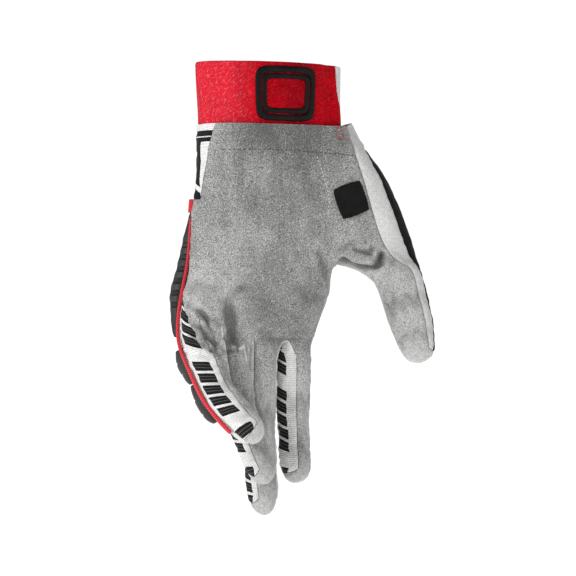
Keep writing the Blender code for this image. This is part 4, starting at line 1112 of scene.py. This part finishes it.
lean = np.abs(a[..., None] + 0.012 * (c[..., None] - 0.4) - guard["windows"]).min(axis=-1)
cut = (1 - smoothStep(0.017, 0.022, lean)) * smoothStep(0.03, 0.045, c) * (1 - smoothStep(0.10, 0.125, c))
groove = (0.6 * np.exp(-((c - 0.20) / 0.014) ** 2) + np.exp(-((c - 0.80) / 0.022) ** 2)) * smoothStep(0.04, 0.1, a) * (
    1 - smoothStep(0.9, 0.96, a))
ladder = 0.5 + 0.5 * np.cos(2 * pi * (a * 21 - 0.5) / 2)
rise = 0.0012 + guard["rise"] * dome * (0.96 + 0.04 * ladder)
rise = rise - 0.0007 * groove - 0.0006 * smoothStep(0.72, 0.78, a) * smoothStep(0.25, 0.4, c) * (
    0.5 + 0.5 * np.cos(2 * pi * a * 34))
rise = rise * (1 - cut) + 0.0007 * cut
high = base + out * rise[..., None]
low = base + out * 0.0001
# windows and the band beside them are painted dark as shade, the grooves half dark; higher rubber is painted lighter
hollow = (1 - smoothStep(0.018, 0.024, lean)) * smoothStep(0.03, 0.045, c) * (1 - smoothStep(0.17, 0.19, c))
paintedCrestLight = np.clip(rise / 0.0078, 0, 1) * (1 - hollow) * (1 - 0.5 * groove)
fields = dict(paintedCrestLight=np.concatenate([np.zeros(paintedCrestLight.size), paintedCrestLight.ravel()]))
guardRubber = rubberMaterial("mouldedRubber")
guardPiece = addPiece("knuckleGuard", np.vstack([low.reshape(-1, 3), high.reshape(-1, 3)]),
                      slabFaces(guard["rows"], guard["columns"]), guardRubber, "knuckle_guard",
                      fields)

# pads on the back of the little finger: domes across and along, with two shallow cross cuts
pads = dict(rows=90, columns=48, knots=9, spread=24,
            upper=dict(node="little_finger_guard_upper", slot="pad_rubber_a", start=0.01, end=0.285, rise=0.0042,
                       turn=190),
            lower=dict(node="little_finger_guard_lower", slot="pad_rubber_b", start=0.305, end=0.60, rise=0.0036,
                       turn=197))
for key in ("upper", "lower"):
    pad = pads[key]
    t = np.linspace(0, 1, pads["knots"])
    centre, side, palm = fingerLine(fingers[0], pad["start"] + (pad["end"] - pad["start"]) * t)
    swell = np.sin(pi * (0.1 + 0.8 * t)) ** 0.4
    turn = np.radians(pad["turn"] - pads["spread"] * np.linspace(-1, 1, pads["knots"]) * swell[:, None])
    out = side * np.sin(turn)[..., None] + palm[:, None] * np.cos(turn)[..., None]
    knots = landFrom(np.repeat(centre[:, None], pads["knots"], axis=1), out)
    base = refine(knots, pads["rows"], pads["columns"])
    out = refine(out, pads["rows"], pads["columns"])
    out /= np.linalg.norm(out, axis=-1)[..., None]
    a = np.linspace(0, 1, pads["rows"])[:, None]
    c = np.linspace(-1, 1, pads["columns"])[None, :]
    dome = (1 - np.abs(c) ** 2.5) * np.sin(pi * (0.1 + 0.8 * a)) ** 0.45
    cuts = np.exp(-((np.abs(a - 0.5) - 0.17) / 0.022) ** 2) * (1 - smoothStep(0.6, 0.75, np.abs(c)))
    rise = 0.0010 + pad["rise"] * dome * (1 - 0.14 * cuts) + 0 * c
    # painted lighter on the high middle of the pad and darker as shade towards its low rim
    fields = dict(paintedCrestLight=np.concatenate([np.zeros(rise.size), np.clip(rise / 0.0045, 0, 1).ravel()]))
    addPiece("littleFingerPad" + key.capitalize(),
             np.vstack([(base + out * 0.0001).reshape(-1, 3), (base + out * rise[..., None]).reshape(-1, 3)]),
             slabFaces(pads["rows"], pads["columns"]), guardRubber, pad["node"], fields)
print("guard and pads moulded")


# a rounded bar along a path: its section a superellipse of two half sizes, closed by a flat
# face at both ends
def bar(path, axisA, axisB, sizeA, sizeB, around, power=1.0):
    v = np.linspace(0, 2 * pi, around, endpoint=False)
    cosV = np.sign(np.cos(v)) * np.abs(np.cos(v)) ** power
    sinV = np.sign(np.sin(v)) * np.abs(np.sin(v)) ** power
    rings = (path[:, None] + axisA[:, None] * (sizeA[:, None] * cosV)[..., None]
             + axisB[:, None] * (sizeB[:, None] * sinV)[..., None])
    index = np.arange(len(path) * around).reshape(len(path), around)
    faces = [list(f) for f in closedGrid(index)]
    return rings, faces + [index[0].tolist(), index[-1][::-1].tolist()]


# red piping: a cord in folded tape, widest along the little finger, thin at both ends
piping = dict(top=0.424, end=0.86, radius=0.0009, wide=0.0013, step=0.0004)
end = (-hand["cuffHeight"] - fingerLine(fingers[0], piping["end"])[0][0, 2]) / hand["palmLength"]
inside = (seamDown > piping["top"]) & (seamDown < end)
line = seamLine[inside] + seamOut[inside] * 0.0011
length = np.concatenate([[0], np.cumsum(np.linalg.norm(np.diff(line, axis=0), axis=1))])
at = np.arange(0, length[-1], piping["step"])
path = np.stack([np.interp(at, length, line[:, k]) for k in range(3)], axis=1)
outward = np.stack([np.interp(at, length, seamOut[inside][:, k]) for k in range(3)], axis=1)
soft = np.ones(9) / 9
padded = np.vstack([np.repeat(path[:1], 4, axis=0), path, np.repeat(path[-1:], 4, axis=0)])
path = np.stack([np.convolve(padded[:, k], soft, "valid") for k in range(3)], axis=1)
outward /= np.linalg.norm(outward, axis=1)[:, None]
ahead = np.gradient(path, axis=0)
ahead /= np.linalg.norm(ahead, axis=1)[:, None]
beside = np.cross(outward, ahead)
s = at / at[-1]
ends = np.clip(np.minimum(s, 1 - s) / 0.012, 0, 1) ** 0.5
width = (piping["radius"] + (piping["wide"] - piping["radius"]) * smoothStep(0.45, 0.8, s)) * np.maximum(ends, 0.05)
rings, faces = bar(path, beside, outward, width, piping["radius"] * np.maximum(ends, 0.05), 16, 0.85)
fields = dict(run=np.repeat(at, 16), turn=np.tile(np.linspace(0, 2 * pi, 16, endpoint=False), len(at)))
redTape = tapeMaterial("redPipingTape", "#A80A18", "#F2283C", 0.0013)
addPiece("redPiping", rings.reshape(-1, 3), faces, redTape, "red_piping", fields)

# red tab: a strip of tape folded in two and caught in the seam, standing out 2.8 mm
tab = dict(top=0.347, end=0.410, reach=0.0028, half=0.00062)
s = np.linspace(0, 1, 40)
at = tab["top"] + (tab["end"] - tab["top"]) * s
root = np.stack([np.interp(at, seamDown, seamLine[:, k]) for k in range(3)], axis=1)
outward = np.stack([np.interp(at, seamDown, seamOut[:, k]) for k in range(3)], axis=1) * np.array([1, 1, 0])
outward /= np.linalg.norm(outward, axis=1)[:, None]
beside = np.stack([-outward[:, 1], outward[:, 0], 0 * s], axis=1)
ends = np.clip(np.minimum(s, 1 - s) / 0.05, 0, 1) ** 0.5
ends = 0.7 + 0.3 * ends
rings, faces = bar(root + outward * (tab["reach"] / 2 + 0.0002), outward, beside,
                   tab["reach"] / 2 * ends, tab["half"] * ends, 20, 0.4)
fields = dict(run=np.repeat(s * 0.0075, 20), turn=np.tile(np.linspace(0, 2 * pi, 20, endpoint=False), 40))
addPiece("redTab", rings.reshape(-1, 3), faces, redTape, "red_tab", fields)

# label: a rounded patch laid on the ball of the thumb, with a low welded border
label = dict(x=0.038, down=0.345, turn=20, width=0.0165, height=0.0175, thickness=0.0008, size=61)
z = -hand["cuffHeight"] - label["down"] * hand["palmLength"]
hit, normal = skin.ray_cast(Vector((label["x"], -1, z)), Vector((0, 1, 0)))[:2]
normal = np.array(normal)
right = np.cross(np.array([0, 0, 1.0]), normal) * -1
right = np.array([-normal[1], normal[0], 0]) / np.hypot(normal[0], normal[1])
rise = np.cross(normal, right)
lean = radians(label["turn"])
v, u = np.meshgrid(np.linspace(-1, 1, label["size"]), np.linspace(-1, 1, label["size"]), indexing="ij")
sideA = u * np.sqrt(1 - 0.16 * v ** 2) * label["width"] / 2
sideB = v * np.sqrt(1 - 0.16 * u ** 2) * label["height"] / 2
flat = (sideA * np.cos(lean) - sideB * np.sin(lean))[..., None] * right + (
    sideA * np.sin(lean) + sideB * np.cos(lean))[..., None] * rise
start = np.array(hit) + flat[::6, ::6] + normal * 0.05
knots = landFrom(start, np.broadcast_to(-normal, start.shape))
top = refine(knots, label["size"], label["size"])
rim = np.maximum(np.abs(u), np.abs(v))
border = 0.00018 * (np.exp(-((rim - 0.90) / 0.035) ** 2)) - 0.0003 * smoothStep(0.95, 1.0, rim)
high = top + normal * (label["thickness"] + 0.0003 + border)[..., None]
low = top + normal * 0.0001
addPiece("palmLabel", np.vstack([low.reshape(-1, 3), high.reshape(-1, 3)]),
         slabFaces(label["size"], label["size"]), siliconeMaterial("weldedLabelFilm", 0.25), "palm_label")
print("piping, tab and label set")

# ---- stitches ----
# places as x and z on the palm side, millimetres
blackThread = threadMaterial("blackThread", "#1C1C1C", "#4A4A4A")
paleThread = threadMaterial("paleThread", "#BDBCB8", "#F2F1ED")
redThread = threadMaterial("redThread", "#8E0B1C", "#D8203A")
seams = dict(
    hemStitch=dict(line=[(-37, -46.5), (-20, -46), (0, -46), (22, -47), (40, -48)], pitch=0.0026,
                   length=0.0018, width=0.00042, thread=blackThread),
    palmStitch=dict(line=[(-47, -111.8), (-38, -112.5), (-29, -111.5)], pitch=0.0021, length=0.0012,
                    width=0.00036, thread=paleThread),
    crossStitch=dict(line=[(26, -78.5), (15, -81.5), (3.5, -84)], pitch=0.0021, length=0.0012, width=0.00036,
                     thread=paleThread),
    thumbStitch=dict(line=[(18, -49.5), (22, -59), (25, -66), (26.5, -73), (26, -78.5)], pitch=0.0021,
                     length=0.0012, width=0.00036, thread=paleThread),
    barTack=dict(line=[(30.0, -33.4), (34.2, -33.4), (34.2, -39.4), (30.0, -39.4), (30.0, -33.4)], pitch=0.0013,
                 length=0.0012, width=0.00036, thread=redThread))
for name, seam in seams.items():
    places, outward = layLine(seam["line"], seam["pitch"])
    sewStitches(name, places, outward, seam["length"], seam["width"], seam["thread"])
print("stitched")

# ---- studio ----
floorMesh = bpy.data.meshes.new("floor")
floorMesh.from_pydata([(-9, -9, -studio["floorDrop"]), (9, -9, -studio["floorDrop"]), (9, 9, -studio["floorDrop"]),
                       (-9, 9, -studio["floorDrop"])], [], [(0, 1, 2, 3)])
floor = bpy.data.objects.new("floor", floorMesh)
scene.collection.objects.link(floor)
material, tree, shader = newMaterial("paintedFloor")
place = addNode(tree, "ShaderNodeTexCoord").outputs["Object"]
tone = noiseAt(tree, place, (1, 1, 1), 3, 2, 0.5)
tree.links.new(colourRun(tree, tone, [(0.3, "#FBFBFB"), (0.7, "#FFFFFF")]), shader.inputs["Base Color"])
setShader(shader, Roughness=0.95, Specular_IOR_Level=0.0, Emission_Color=(1, 1, 1, 1), Emission_Strength=0.74)
floorMesh.materials.append(material)

world = bpy.data.worlds.new("studioSky")
world.use_nodes = True
sky = world.node_tree
seen = addNode(sky, "ShaderNodeLightPath").outputs["Is Camera Ray"]
power = calc(sky, "ADD", calc(sky, "MULTIPLY", seen, studio["skySeen"] - studio["skyStrength"]),
             studio["skyStrength"])
sky.nodes["Background"].inputs["Color"].default_value = (1, 1, 1, 1)
sky.links.new(power, sky.nodes["Background"].inputs["Strength"])
scene.world = world


# soft square lamp looking at the middle of the glove
def addLamp(name, place, size, power):
    data = bpy.data.lights.new(name, "AREA")
    data.size = size
    data.energy = power
    lamp = bpy.data.objects.new(name, data)
    lamp.location = place
    way = Vector(studio["aim"]) - Vector(place)
    lamp.rotation_euler = way.to_track_quat("-Z", "Y").to_euler()
    scene.collection.objects.link(lamp)


addLamp("key", (-1.55, -0.55, 0.45), 0.6, studio["keyPower"])
addLamp("fill", (0.9, -1.3, -0.1), 0.9, studio["fillPower"])
